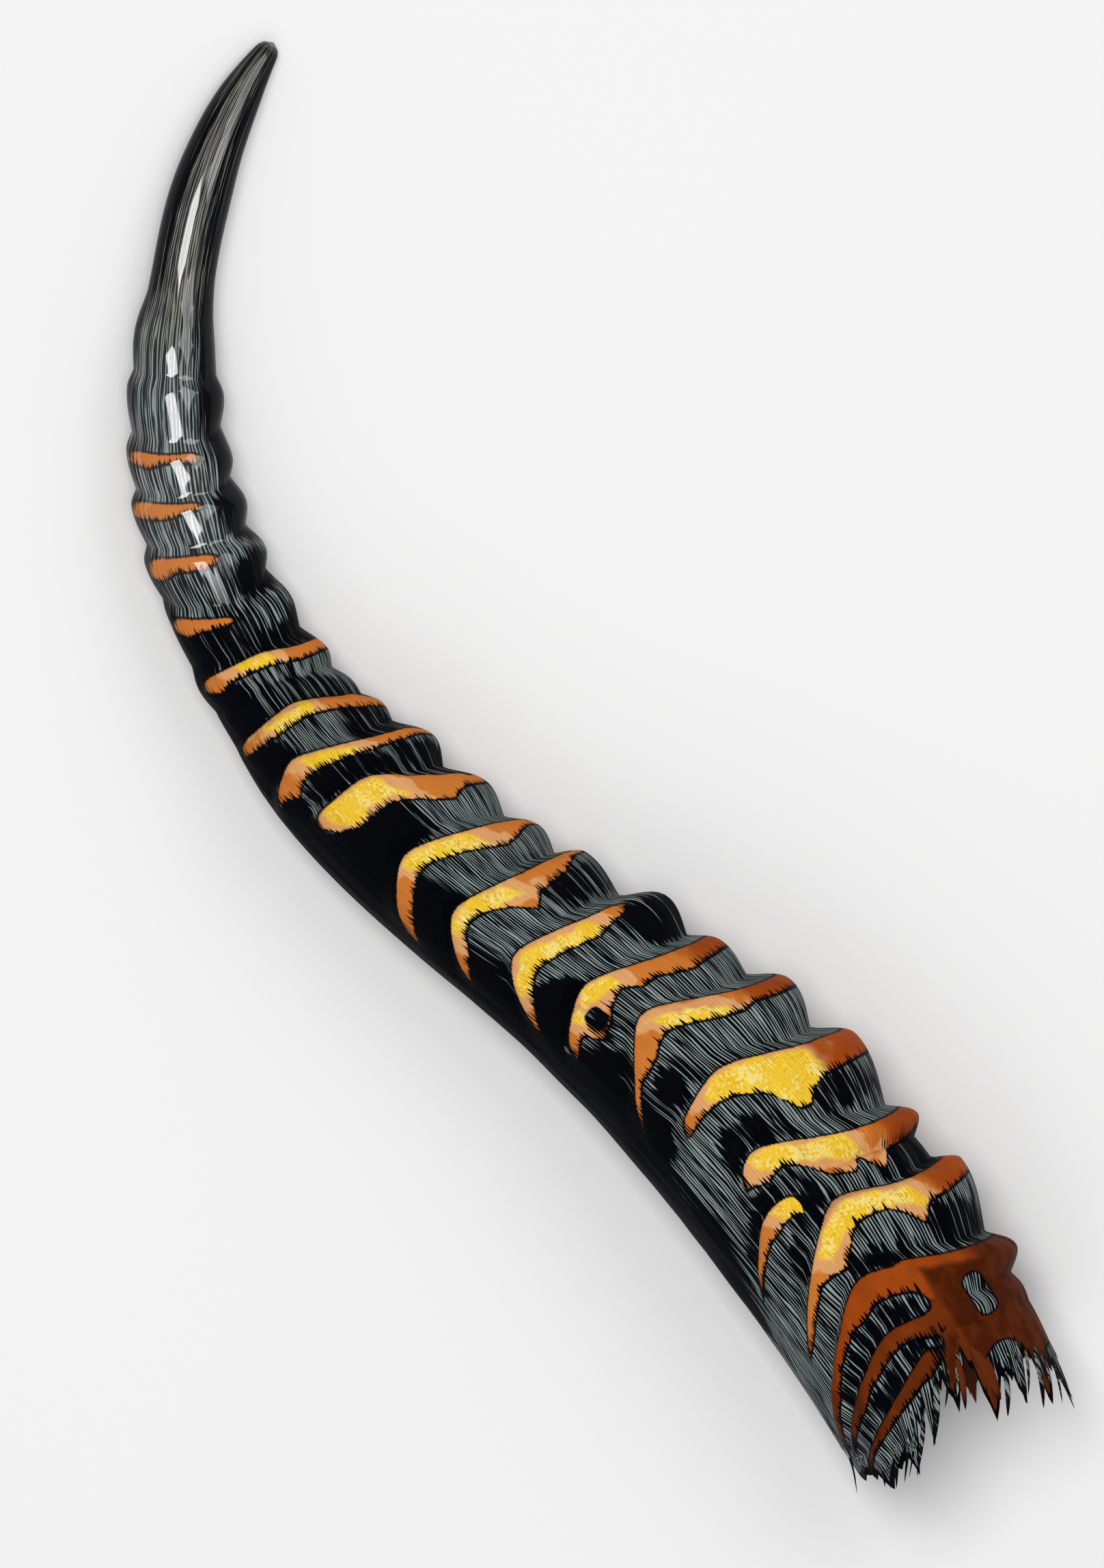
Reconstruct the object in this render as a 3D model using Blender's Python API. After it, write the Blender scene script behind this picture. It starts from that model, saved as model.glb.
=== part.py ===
"""A ringed antelope horn sheath, lying on its side.

The horn is one piece of keratin: a stout, S-curved cone with growth rings on its front and sides, a smooth back,
a smooth tip, and a hollow base whose rim is torn into splinters. Its whole surface is one grid of quads. The rows
of the grid run from the closed end of the hollow, out over the torn rim, along the rings and on to the tip, and
its columns run round the horn. The grid is a primitive, and each of its vertices is then moved to its place.

Metres, +Z up. +Y is the direction in which the base points into the horn, and the front of the horn, with the
high rings, faces +X there. The horn rests on its rings at z = 0.
"""

import math
from collections import namedtuple

import bmesh
import bpy
import numpy as np

MM = 0.001

# The centre line lies nearly flat. Its heading turns as the horn grows: first to the left, then far to the right.
HORN_LENGTH = 449 * MM
HEADING_STATIONS = np.array([0, 45, 100, 155, 200, 250, 300, 350, 400, 449]) * MM
HEADING_DEGREES = np.array([82, 90, 97.6, 108.4, 104.5, 94.4, 77.0, 55.5, 40.3, 19.0])
BASE_CENTRE = (-4.78 * MM, -194.36 * MM)
# The line is added up in steps of this length, from a little before the longest splinter.
LINE_START = -30 * MM
LINE_STEP = 0.5 * MM

# Half the width of the horn in its valleys, seen from above, and how much flatter it is from side to side.
RADIUS_STATIONS = np.array([-15, 0, 20, 60, 100, 120, 140, 160, 181, 220, 240, 264, 280, 300, 341, 362, 374, 384,
                            400, 420, 430, 438, 444, 449]) * MM
VALLEY_RADII = np.array([29.0, 30.4, 31.6, 31.5, 29.7, 28.1, 25.9, 23.5, 22.1, 21.0, 19.8, 16.5, 15.3, 14.2, 12.1,
                         10.8, 9.3, 8.7, 8.6, 7.3, 6.3, 5.0, 3.7, 2.6]) * MM
FLATNESS_AT_BASE = 0.86
FLATNESS_AT_TIP = 0.94
# Over this last stretch the tip closes as a quarter circle.
TIP_ROUND = 3.4 * MM

# On the side faces, above and below, the strongest rings stand this high. The horn rests on the lower ones.
SIDE_STATIONS = np.array([0, 200, 330, 375, 400]) * MM
SIDE_HEIGHTS = np.array([3.4, 2.6, 1.5, 0.8, 0.0]) * MM
# Between the base, the bend and the tip the underside is clear of the ground by this much.
SHAFT_ARCH = 1.2 * MM
TIP_ARCH = 0.8 * MM
BEND_STATION = 300 * MM

# Each ring crest runs round the horn. Its stations, in mm from the base, are on the front, at the angle side_at where
# its two lines meet, and at BACK_ANGLE. Its climb is 1 where it climbs evenly from the front, and more where it stays
# low on the front and climbs late. Then come how high it stands on the front, its share of the full height on the
# sides, how high it stands on the back, the angle at which it has died away, and how far along the way to the next
# crest their valley lies on the front. Angles are in degrees from the front.
Ring = namedtuple("Ring", "front side side_at back climb front_height side_share back_height end valley")
RINGS = [
    Ring(14.0, 23.5, 77, -3.0, 1.2, 0.0, 0.35, 0.0, 172, 0.45),
    Ring(22.5, 31.0, 100, 5.0, 1.8, 0.8, 0.50, 0.0, 172, 0.45),
    Ring(31.0, 49.0, 96, 11.5, 1.7, 5.0, 1.00, 0.0, 170, 0.28),
    Ring(55.0, 70.0, 83, 26.5, 2.2, 6.3, 1.00, 0.0, 148, 0.58),
    Ring(64.0, 76.0, 113, 50.5, 0.8, 0.0, 0.70, 0.0, 155, 0.40),
    Ring(71.0, 93.5, 98, 61.0, 1.9, 4.8, 0.90, 0.0, 130, 0.27),
    Ring(94.5, 113.0, 82, 99.5, 1.4, 7.4, 1.00, 0.0, 132, 0.43),
    Ring(114.5, 139.5, 87, 103.5, 1.5, 5.9, 1.00, 0.0, 152, 0.46),
    Ring(132.5, 154.0, 92, 139.0, 1.4, 3.6, 0.80, 0.0, 150, 0.40),
    Ring(150.5, 174.5, 106, 144.5, 1.0, 6.4, 1.00, 0.0, 155, 0.40),
    Ring(174.0, 193.0, 107, 171.0, 1.0, 5.0, 0.85, 0.0, 160, 0.45),
    Ring(188.5, 212.0, 99, 193.5, 0.9, 3.8, 0.90, 0.0, 162, 0.47),
    Ring(208.0, 232.5, 75, 233.0, 1.2, 4.4, 1.00, 0.0, 150, 0.58),
    Ring(228.0, 249.0, 111, 239.5, 0.8, 4.6, 1.00, 0.0, 178, 0.65),
    Ring(245.0, 259.5, 81, 258.0, 0.8, 1.8, 0.80, 0.2, 180, 0.50),
    Ring(257.0, 267.0, 90, 267.0, 1.0, 1.2, 0.45, 0.1, 180, 0.50),
    Ring(268.5, 275.0, 76, 276.5, 1.5, 2.4, 1.00, 1.1, 180, 0.50),
    Ring(287.0, 286.0, 82, 294.5, 0.9, 2.4, 1.00, 0.5, 180, 0.62),
    Ring(304.0, 304.0, 76, 309.0, 1.3, 2.6, 1.00, 1.8, 180, 0.52),
    Ring(318.5, 319.0, 94, 323.0, 1.2, 2.3, 1.00, 1.9, 180, 0.58),
    Ring(331.5, 332.5, 107, 335.5, 0.8, 1.7, 1.00, 1.6, 180, 0.52),
    Ring(350.0, 350.5, 100, 352.0, 1.0, 1.7, 0.90, 1.4, 180, 0.45),
    Ring(363.0, 365.0, 100, 367.0, 1.0, 0.0, 0.70, 1.2, 180, 0.45),
]
BACK_ANGLE = 160
# How rounded a crest is where it crosses the front, as a share of the way to the side: 0 would be a sharp bend.
FRONT_ROUND = 0.22
# The corner where a crest's two lines meet is rounded over about this many degrees.
CORNER_ROUND = 10
# The height of a crest changes from the front to the side within this angle, in degrees.
SIDE_ANGLE = 70
# A crest dies away over this many degrees before its end.
FADE_ANGLE = 42
# On the sides the valley lies this far along the way to the next crest, so a ring falls off more steeply there.
VALLEY_ON_SIDE = 0.30
VALLEY_ANGLE = 60
# Rows of the grid between two crests, as shares of the fall and of the rise that follows.
FALL_SHARE = 0.55
RISE_SHARES = (0.0, 0.45, 0.78)
# The heights between a crest and a valley follow a cosine to this power: more than 1 makes the crest sharper.
CREST_POWER = 1.3

# The torn rim of the base. Each splinter is one column of the grid, with a notch on each side of it.
# On the upper side the splinters run from the front to the back, and the columns stand as unevenly as they do.
UPPER_ANGLES = [0, 11, 20, 31, 38, 47, 55, 62, 72, 80, 90, 97, 102, 113, 126, 140, 154, 167, 180]
UPPER_TIPS = [-11.1, -7.2, -3.8, -4.2, 2.4, -2.4, -7.6, -8.0, -2.8]
UPPER_NOTCHES = [3.0, 3.0, 8.4, 4.9, 15.0, 12.5, 8.5, -2.5, -2.0, 1.0]
LOWER_TIPS = [-2.0, 2.0, 4.0, 1.0, 6.0, 3.0, 5.0, 0.0, -2.0]
LOWER_NOTCHES = [3.0, 8.5, 11.0, 12.5, 14.5, 14.0, 12.5, 10.0, 7.0, 1.0]
# The splinters lean towards the back as they run down, by this share of their length.
SPLINTER_LEAN = 0.30
SPLINTER_ROOT_CLEARANCE = 2.5 * MM
# A rim corner that stands out of its notch by more than this is a splinter's tip, with a thinner wall.
LEAST_SPLINTER = 1.5 * MM
# The smallest step along the horn from one row of the grid to the next.
ROW_STEP = 0.7 * MM

# The hollow that the bone of the skull filled. It closes as a rounded end: the higher the power, the blunter.
HOLLOW_DEPTH = 115 * MM
HOLLOW_POWER = 2.4
WALL_AT_TIP_OF_SPLINTER = 0.9 * MM
WALL_AT_RIM = 2.4 * MM
WALL_AT_DEPTH = 4.5 * MM
HOLLOW_ROW_SHARES = (0.16, 0.30, 0.46, 0.62, 0.78, 0.90, 0.97)

COLUMNS = 36
TIP_ROW_STATIONS = np.array([374, 386, 400, 414, 427, 437, 443, 446.5, 448.3]) * MM
MERGE_DISTANCE = 0.02 * MM
SHARP_ANGLE = 50

HORN_COLOUR = (0.045, 0.05, 0.055, 1.0)
HORN_ROUGHNESS = 0.42


def clear_scene():
    for obj in list(bpy.data.objects):
        bpy.data.objects.remove(obj)


def smooth_curve(stations, values, at):
    """A curve through the values that never overshoots them: cubic pieces with limited slopes (Fritsch-Carlson)."""
    stations = np.asarray(stations, float)
    values = np.asarray(values, float)
    step = np.diff(stations)
    rise = np.diff(values) / step
    slope = np.zeros_like(values)
    same_way = rise[:-1] * rise[1:] > 0
    before = 2 * step[1:] + step[:-1]
    after = step[1:] + 2 * step[:-1]
    with np.errstate(divide="ignore", invalid="ignore"):
        mean = (before + after) / (before / rise[:-1] + after / rise[1:])
    slope[1:-1] = np.where(same_way, mean, 0.0)
    slope[0] = rise[0]
    slope[-1] = rise[-1]
    at = np.clip(at, stations[0], stations[-1])
    piece = np.clip(np.searchsorted(stations, at, side="right") - 1, 0, len(step) - 1)
    width = step[piece]
    t = (at - stations[piece]) / width
    return (values[piece] * (1 + 2 * t) * (1 - t) ** 2
            + values[piece + 1] * t * t * (3 - 2 * t)
            + width * slope[piece] * t * (1 - t) ** 2
            - width * slope[piece + 1] * t * t * (1 - t))


def smooth_step(low, high, value):
    t = np.clip((value - low) / (high - low), 0.0, 1.0)
    return t * t * (3 - 2 * t)


def flatness(s):
    return FLATNESS_AT_BASE + (FLATNESS_AT_TIP - FLATNESS_AT_BASE) * np.clip(s / HORN_LENGTH, 0, 1)


def side_height(s):
    """How high the strongest rings stand on the side faces, lower and lower towards the smooth tip."""
    return smooth_curve(SIDE_STATIONS, SIDE_HEIGHTS, s)


def valley_radius(s):
    """The radius of the horn in its valleys, with a rounded end at the tip."""
    radius = smooth_curve(RADIUS_STATIONS, VALLEY_RADII, s)
    to_tip = np.clip((HORN_LENGTH - s) / TIP_ROUND, 0.0, 1.0)
    return radius * np.sqrt(1 - (1 - to_tip) ** 2)


def centre_line(s):
    """x, y and heading of the centre line at the distance s from the base, by adding up small steps."""
    fine = np.arange(LINE_START, HORN_LENGTH + 2 * LINE_STEP, LINE_STEP)
    heading = np.radians(smooth_curve(HEADING_STATIONS, HEADING_DEGREES, fine))
    middle = (heading[1:] + heading[:-1]) / 2
    x = np.concatenate([[0.0], np.cumsum(np.cos(middle) * LINE_STEP)])
    y = np.concatenate([[0.0], np.cumsum(np.sin(middle) * LINE_STEP)])
    x = x - np.interp(0.0, fine, x) + BASE_CENTRE[0]
    y = y - np.interp(0.0, fine, y) + BASE_CENTRE[1]
    return np.interp(s, fine, x), np.interp(s, fine, y), np.interp(s, fine, heading)


def axis_height(s):
    """The height of the centre line, so that the lower rings just reach the ground at the base, bend and tip."""
    tip_share = np.clip((s - BEND_STATION) / (HORN_LENGTH - BEND_STATION), 0, 1)
    shaft_share = np.clip(s / BEND_STATION, 0, 1)
    arch = SHAFT_ARCH * np.sin(np.pi * shaft_share) ** 2 + TIP_ARCH * np.sin(np.pi * tip_share) ** 2
    return flatness(s) * (valley_radius(s) + side_height(s)) + arch


def surface_point(s, angle, radius):
    """The point at the distance s along the horn, at the angle round it from its front, and this far from its axis."""
    x, y, heading = centre_line(s)
    out = radius * np.cos(angle)
    up = radius * np.sin(angle) * flatness(s)
    return np.stack([x + out * np.sin(heading), y - out * np.cos(heading), axis_height(s) + up], axis=-1)


def crest_station(ring, from_front):
    """Where a ring's crest lies at this angle from the front: one line climbs to the side and one falls to the back.

    A square root rounds the corner where they meet, and another rounds the climb where it starts on the front.
    """
    before_side = ring.side_at - np.degrees(from_front)
    rounded = np.hypot(before_side, CORNER_ROUND)
    share = np.clip(1 - (before_side + rounded) / 2 / ring.side_at, 0, None)
    climb = (np.hypot(share, FRONT_ROUND) - FRONT_ROUND) / (math.hypot(1, FRONT_ROUND) - FRONT_ROUND)
    past_side = (rounded - before_side) / 2 / (BACK_ANGLE - ring.side_at)
    return (ring.front + (ring.side - ring.front) * climb ** ring.climb + (ring.back - ring.side) * past_side) * MM


def crest_height(ring, from_front, s):
    """How high a ring stands at this angle from the front."""
    degrees = np.degrees(from_front)
    front_height = ring.front_height * MM
    height = front_height + (side_height(s) * ring.side_share - front_height) * smooth_step(0, SIDE_ANGLE, degrees)
    fade = smooth_step(ring.end - FADE_ANGLE, ring.end, degrees)
    return height + (ring.back_height * MM - height) * fade


def column_angles():
    """Uneven on the upper side, as the table says, and even on the lower side."""
    half = COLUMNS // 2
    return np.radians(np.concatenate([UPPER_ANGLES, 180 + np.arange(1, half) * 180 / half]))


def angle_from_front(angle):
    """From 0 on the front to pi on the back, the same above and below."""
    return np.abs((angle + np.pi) % (2 * np.pi) - np.pi)


def rim_stations():
    """The torn edge: notches on the even columns and splinter tips on the odd ones."""
    half = COLUMNS // 2
    rim = np.zeros(COLUMNS)
    rim[0:half + 1:2] = UPPER_NOTCHES
    rim[1:half:2] = UPPER_TIPS
    lower_columns = np.arange(COLUMNS, half - 1, -1) % COLUMNS
    rim[lower_columns[0::2]] = LOWER_NOTCHES
    rim[lower_columns[1::2]] = LOWER_TIPS
    return rim * MM


def outer_rows():
    """Stations and heights of the rows from the first crest to the tip, one array row for each.

    The heights between a crest and the valley after it are a cosine, and from there to the next crest a sine.
    """
    from_front = angle_from_front(column_angles())
    crests = [crest_station(ring, from_front) for ring in RINGS]
    to_side = smooth_step(0, VALLEY_ANGLE, np.degrees(from_front))
    stations, heights = [crests[0]], [crest_height(RINGS[0], from_front, crests[0])]
    for ring, next_ring, crest, following in zip(RINGS[:-1], RINGS[1:], crests[:-1], crests[1:]):
        valley = crest + (following - crest) * (ring.valley + (VALLEY_ON_SIDE - ring.valley) * to_side)
        s = crest + (valley - crest) * FALL_SHARE
        stations.append(s)
        heights.append(crest_height(ring, from_front, s) * math.cos(0.5 * math.pi * FALL_SHARE) ** CREST_POWER)
        for share in (*RISE_SHARES, 1.0):
            s = valley + (following - valley) * share
            stations.append(s)
            heights.append(crest_height(next_ring, from_front, s) * math.sin(0.5 * math.pi * share) ** CREST_POWER)
    for s in TIP_ROW_STATIONS:
        stations.append(np.full(COLUMNS, s))
        heights.append(np.zeros(COLUMNS))
    return np.array(stations), np.array(heights)


def keep_rows_apart(stations, start):
    """Moves rows towards the tip where they would lie closer than one step to the row before."""
    previous = start
    for row in stations:
        np.maximum(row, previous + ROW_STEP, out=row)
        previous = row


def leaned(angle, shift):
    """The angle moved towards the back of the horn, on the upper and on the lower side alike."""
    return angle + shift * np.sin(angle)


def horn_points():
    """Every row of the grid as points, from the closed end of the hollow to the tip, in an array of rows by columns."""
    angle = column_angles()
    rim = rim_stations()
    notches = rim.copy()
    notches[1::2] = np.maximum(rim[0::2], np.roll(rim[0::2], -1))
    root = notches + SPLINTER_ROOT_CLEARANCE
    stations, heights = outer_rows()
    keep_rows_apart(stations[:-len(TIP_ROW_STATIONS)], root)
    radii = valley_radius(stations) + np.maximum(heights, 0)

    rim_wall = np.where(rim < notches - LEAST_SPLINTER, WALL_AT_TIP_OF_SPLINTER, WALL_AT_RIM)
    rim_angle = leaned(angle, SPLINTER_LEAN * (root - rim) / valley_radius(rim))
    outer = [surface_point(rim, rim_angle, valley_radius(rim)),
             surface_point(root, angle, valley_radius(root))]
    outer += [surface_point(s, angle, radius) for s, radius in zip(stations, radii)]
    outer.append(surface_point(np.full(COLUMNS, HORN_LENGTH), angle, 0.0))

    inner = [surface_point(rim, rim_angle, valley_radius(rim) - rim_wall),
             surface_point(root, angle, valley_radius(root) - WALL_AT_RIM)]
    for share in HOLLOW_ROW_SHARES:
        s = root + (HOLLOW_DEPTH - root) * share
        wall = WALL_AT_RIM + (WALL_AT_DEPTH - WALL_AT_RIM) * share
        inner.append(surface_point(s, angle, (valley_radius(s) - wall) * math.sqrt(1 - share ** HOLLOW_POWER)))
    inner.append(surface_point(np.full(COLUMNS, HOLLOW_DEPTH), angle, 0.0))
    return np.array(inner[::-1] + outer)


def make_horn(collection):
    """Rolls a grid primitive into the horn: column 0 and the last column are the same seam, then welded."""
    points = horn_points()
    row_count = len(points)
    closed = np.concatenate([points, points[:, :1]], axis=1)
    mesh = bpy.data.meshes.new("horn")
    bm = bmesh.new()
    bmesh.ops.create_grid(bm, x_segments=COLUMNS, y_segments=row_count - 1, size=1.0)
    bm.verts.ensure_lookup_table()
    for vert in bm.verts:
        column = round((vert.co.x + 1) / 2 * COLUMNS)
        row = round((vert.co.y + 1) / 2 * (row_count - 1))
        vert.co = closed[row, column]
    bmesh.ops.remove_doubles(bm, verts=bm.verts, dist=MERGE_DISTANCE)
    bmesh.ops.recalc_face_normals(bm, faces=bm.faces)
    bmesh.ops.triangulate(bm, faces=bm.faces)
    bm.to_mesh(mesh)
    bm.free()
    horn = bpy.data.objects.new("horn", mesh)
    collection.objects.link(horn)
    mesh.shade_smooth()
    mesh.set_sharp_from_angle(angle=math.radians(SHARP_ANGLE))
    return horn


def keratin():
    material = bpy.data.materials.new("dark_keratin")
    material.use_nodes = True
    shader = material.node_tree.nodes["Principled BSDF"]
    shader.inputs["Base Color"].default_value = HORN_COLOUR
    shader.inputs["Roughness"].default_value = HORN_ROUGHNESS
    shader.inputs["Metallic"].default_value = 0.0
    return material


def main():
    clear_scene()
    collection = bpy.data.collections.new("antelope_horn")
    bpy.context.scene.collection.children.link(collection)
    horn = make_horn(collection)
    horn.data.materials.append(keratin())
    corners = np.array([vert.co for vert in horn.data.vertices])
    print("lowest corner, mm", (corners.min(0) / MM).round(2))
    print("highest corner, mm", (corners.max(0) / MM).round(2))
    print("triangles", len(horn.data.polygons))


main()
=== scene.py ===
# %% [markdown]
# # A ringed antelope horn
# The horn is one hollow cone of keratin, the stuff of hooves and nails. It has growth rings on its front and
# sides, a smooth back painted black as painted shade, a polished tip, and a torn base where its fibres have
# come apart into splinters. The imported solid gives the box that all of it stays in. This notebook lays a
# finer surface over that solid, adds the loose strands of the torn base, and paints both with procedural
# materials.

# %% Load the frame
import math
from collections import namedtuple

import bpy
import numpy as np
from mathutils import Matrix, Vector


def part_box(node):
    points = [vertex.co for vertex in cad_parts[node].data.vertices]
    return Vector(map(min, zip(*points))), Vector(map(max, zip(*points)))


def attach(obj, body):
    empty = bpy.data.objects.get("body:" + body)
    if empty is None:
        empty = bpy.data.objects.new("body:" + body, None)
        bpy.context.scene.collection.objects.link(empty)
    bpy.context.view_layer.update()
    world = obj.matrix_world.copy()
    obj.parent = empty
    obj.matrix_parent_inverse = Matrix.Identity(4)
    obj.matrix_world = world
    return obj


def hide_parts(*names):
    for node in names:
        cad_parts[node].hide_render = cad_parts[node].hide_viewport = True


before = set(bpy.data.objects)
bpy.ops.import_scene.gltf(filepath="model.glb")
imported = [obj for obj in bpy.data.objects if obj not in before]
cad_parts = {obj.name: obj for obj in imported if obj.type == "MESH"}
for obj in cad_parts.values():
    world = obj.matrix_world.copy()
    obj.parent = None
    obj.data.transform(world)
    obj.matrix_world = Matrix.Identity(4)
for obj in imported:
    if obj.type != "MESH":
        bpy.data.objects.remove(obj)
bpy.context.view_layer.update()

MM = 0.001
low, high = (np.array(corner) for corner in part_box("horn"))
print("the packed horn measures", ((high - low) / MM).round(1), "mm")

# %% [markdown]
# ## Curves through a few values
# A horn's outline is a handful of sizes at known places, with a smooth curve between them. A plain spline
# would swing past the values. These cubic pieces limit each slope to what its neighbours allow, so nothing
# bulges.

# %% A smooth curve that never overshoots
def smooth_curve(stations, values, at):
    """Cubic pieces between the values. The slope at a station is the weighted harmonic mean of the slopes of
    the chords on both sides, or zero where the values turn back."""
    stations, values = np.asarray(stations, float), np.asarray(values, float)
    step = np.diff(stations)
    rise = np.diff(values) / step
    before, after = 2 * step[1:] + step[:-1], step[1:] + 2 * step[:-1]
    slope = np.zeros_like(values)
    with np.errstate(divide="ignore", invalid="ignore"):
        mean = (before + after) / (before / rise[:-1] + after / rise[1:])
    slope[1:-1] = np.where(rise[:-1] * rise[1:] > 0, mean, 0.0)
    slope[0], slope[-1] = rise[0], rise[-1]
    at = np.clip(at, stations[0], stations[-1])
    piece = np.clip(np.searchsorted(stations, at, side="right") - 1, 0, len(step) - 1)
    width = step[piece]
    t = (at - stations[piece]) / width
    return (values[piece] * (1 + 2 * t) * (1 - t) ** 2 + values[piece + 1] * t * t * (3 - 2 * t)
            + width * slope[piece] * t * (1 - t) ** 2 - width * slope[piece + 1] * t * t * (1 - t))


def smooth_step(start, stop, value):
    """0 up to start, 1 from stop on, and the cubic 3t^2 - 2t^3 between them."""
    t = np.clip((value - start) / (stop - start), 0.0, 1.0)
    return t * t * (3 - 2 * t)


# %% [markdown]
# ## The line that the horn follows
# The horn lies nearly flat, so its centre line is given by a heading: the direction in which it points at
# each distance from the base. Adding up small steps along the heading gives the line. The horn turns a
# little to one side first, and then far to the other, which makes the long S of the whole horn.

# %% Centre line
HORN_LENGTH = 449 * MM
HEADING_STATIONS = np.array([0, 45, 100, 155, 200, 250, 300, 350, 400, 449]) * MM
HEADING_DEGREES = np.array([82, 90, 97.6, 108.4, 104.5, 94.4, 77.0, 55.5, 40.3, 19.0])
BASE_CENTRE = (-4.78 * MM, -194.36 * MM)
LINE_START, LINE_STEP = -30 * MM, 0.5 * MM


def centre_line(s):
    """x, y and heading at the distance s: x adds up step times cosine of the heading, and y the sine."""
    fine = np.arange(LINE_START, HORN_LENGTH + MM, LINE_STEP)
    heading = np.radians(smooth_curve(HEADING_STATIONS, HEADING_DEGREES, fine))
    middle = (heading[1:] + heading[:-1]) / 2
    x = np.concatenate([[0.0], np.cumsum(np.cos(middle) * LINE_STEP)])
    y = np.concatenate([[0.0], np.cumsum(np.sin(middle) * LINE_STEP)])
    x += BASE_CENTRE[0] - np.interp(0.0, fine, x)
    y += BASE_CENTRE[1] - np.interp(0.0, fine, y)
    return np.interp(s, fine, x), np.interp(s, fine, y), np.interp(s, fine, heading)


tip_x, tip_y = centre_line(HORN_LENGTH)[:2]
print("the tip is at", round(tip_x / MM, 1), round(tip_y / MM, 1), "mm")

# %% [markdown]
# ## The body without its rings
# Between two rings the horn has its smallest girth. That girth, station by station, is the body that the
# rings stand on. A horn is a little flatter from face to face than from front to back. It lies on one face,
# so its centre line rises and falls with its own thickness and with the height of the rings under it.

# %% Radius, flatness and height above the ground
RADIUS_STATIONS = np.array([-15, 0, 20, 60, 100, 120, 140, 160, 181, 220, 240, 264, 280, 300, 341, 362, 374,
                            384, 400, 420, 430, 438, 444, 449]) * MM
VALLEY_RADII = np.array([29.0, 30.4, 31.6, 31.5, 29.7, 28.1, 25.9, 23.5, 22.1, 21.0, 19.8, 16.5, 15.3, 14.2,
                         12.1, 10.8, 9.3, 8.7, 8.6, 7.3, 6.3, 5.0, 3.7, 2.6]) * MM
FLATNESS_AT_BASE, FLATNESS_AT_TIP = 0.86, 0.94
SIDE_STATIONS = np.array([0, 200, 330, 375, 400]) * MM
SIDE_HEIGHTS = np.array([3.4, 2.6, 1.5, 0.8, 0.0]) * MM
SHAFT_ARCH, TIP_ARCH, BEND_STATION = 1.2 * MM, 0.8 * MM, 300 * MM
TIP_ROUND = 3.4 * MM


def flatness(s):
    return FLATNESS_AT_BASE + (FLATNESS_AT_TIP - FLATNESS_AT_BASE) * np.clip(s / HORN_LENGTH, 0, 1)


def side_height(s):
    return smooth_curve(SIDE_STATIONS, SIDE_HEIGHTS, s)


def valley_radius(s):
    """The curve through the girths, times a quarter circle over the last stretch, which rounds the tip."""
    to_tip = np.clip((HORN_LENGTH - s) / TIP_ROUND, 0.0, 1.0)
    return smooth_curve(RADIUS_STATIONS, VALLEY_RADII, s) * np.sqrt(1 - (1 - to_tip) ** 2)


def axis_height(s):
    """Half the thickness with its rings, plus two squared sine arches between the places that touch down."""
    tip_share = np.clip((s - BEND_STATION) / (HORN_LENGTH - BEND_STATION), 0, 1)
    shaft_share = np.clip(s / BEND_STATION, 0, 1)
    arch = SHAFT_ARCH * np.sin(np.pi * shaft_share) ** 2 + TIP_ARCH * np.sin(np.pi * tip_share) ** 2
    return flatness(s) * (valley_radius(s) + side_height(s)) + arch


def surface_point(s, angle, radius):
    """An ellipse square to the centre line, with angle 0 at the front and a quarter turn straight up."""
    x, y, heading = centre_line(s)
    out = radius * np.cos(angle)
    up = radius * np.sin(angle) * flatness(s)
    return np.stack([x + out * np.sin(heading), y - out * np.cos(heading), axis_height(s) + up], axis=-1)


# %% [markdown]
# ## The growth rings
# Each ring is a ridge that runs round the horn. It stands high on the front, leads towards the tip on the
# side faces, and from its furthest point it runs back towards the base and dies away. Each row of this table
# is one ring.

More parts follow.
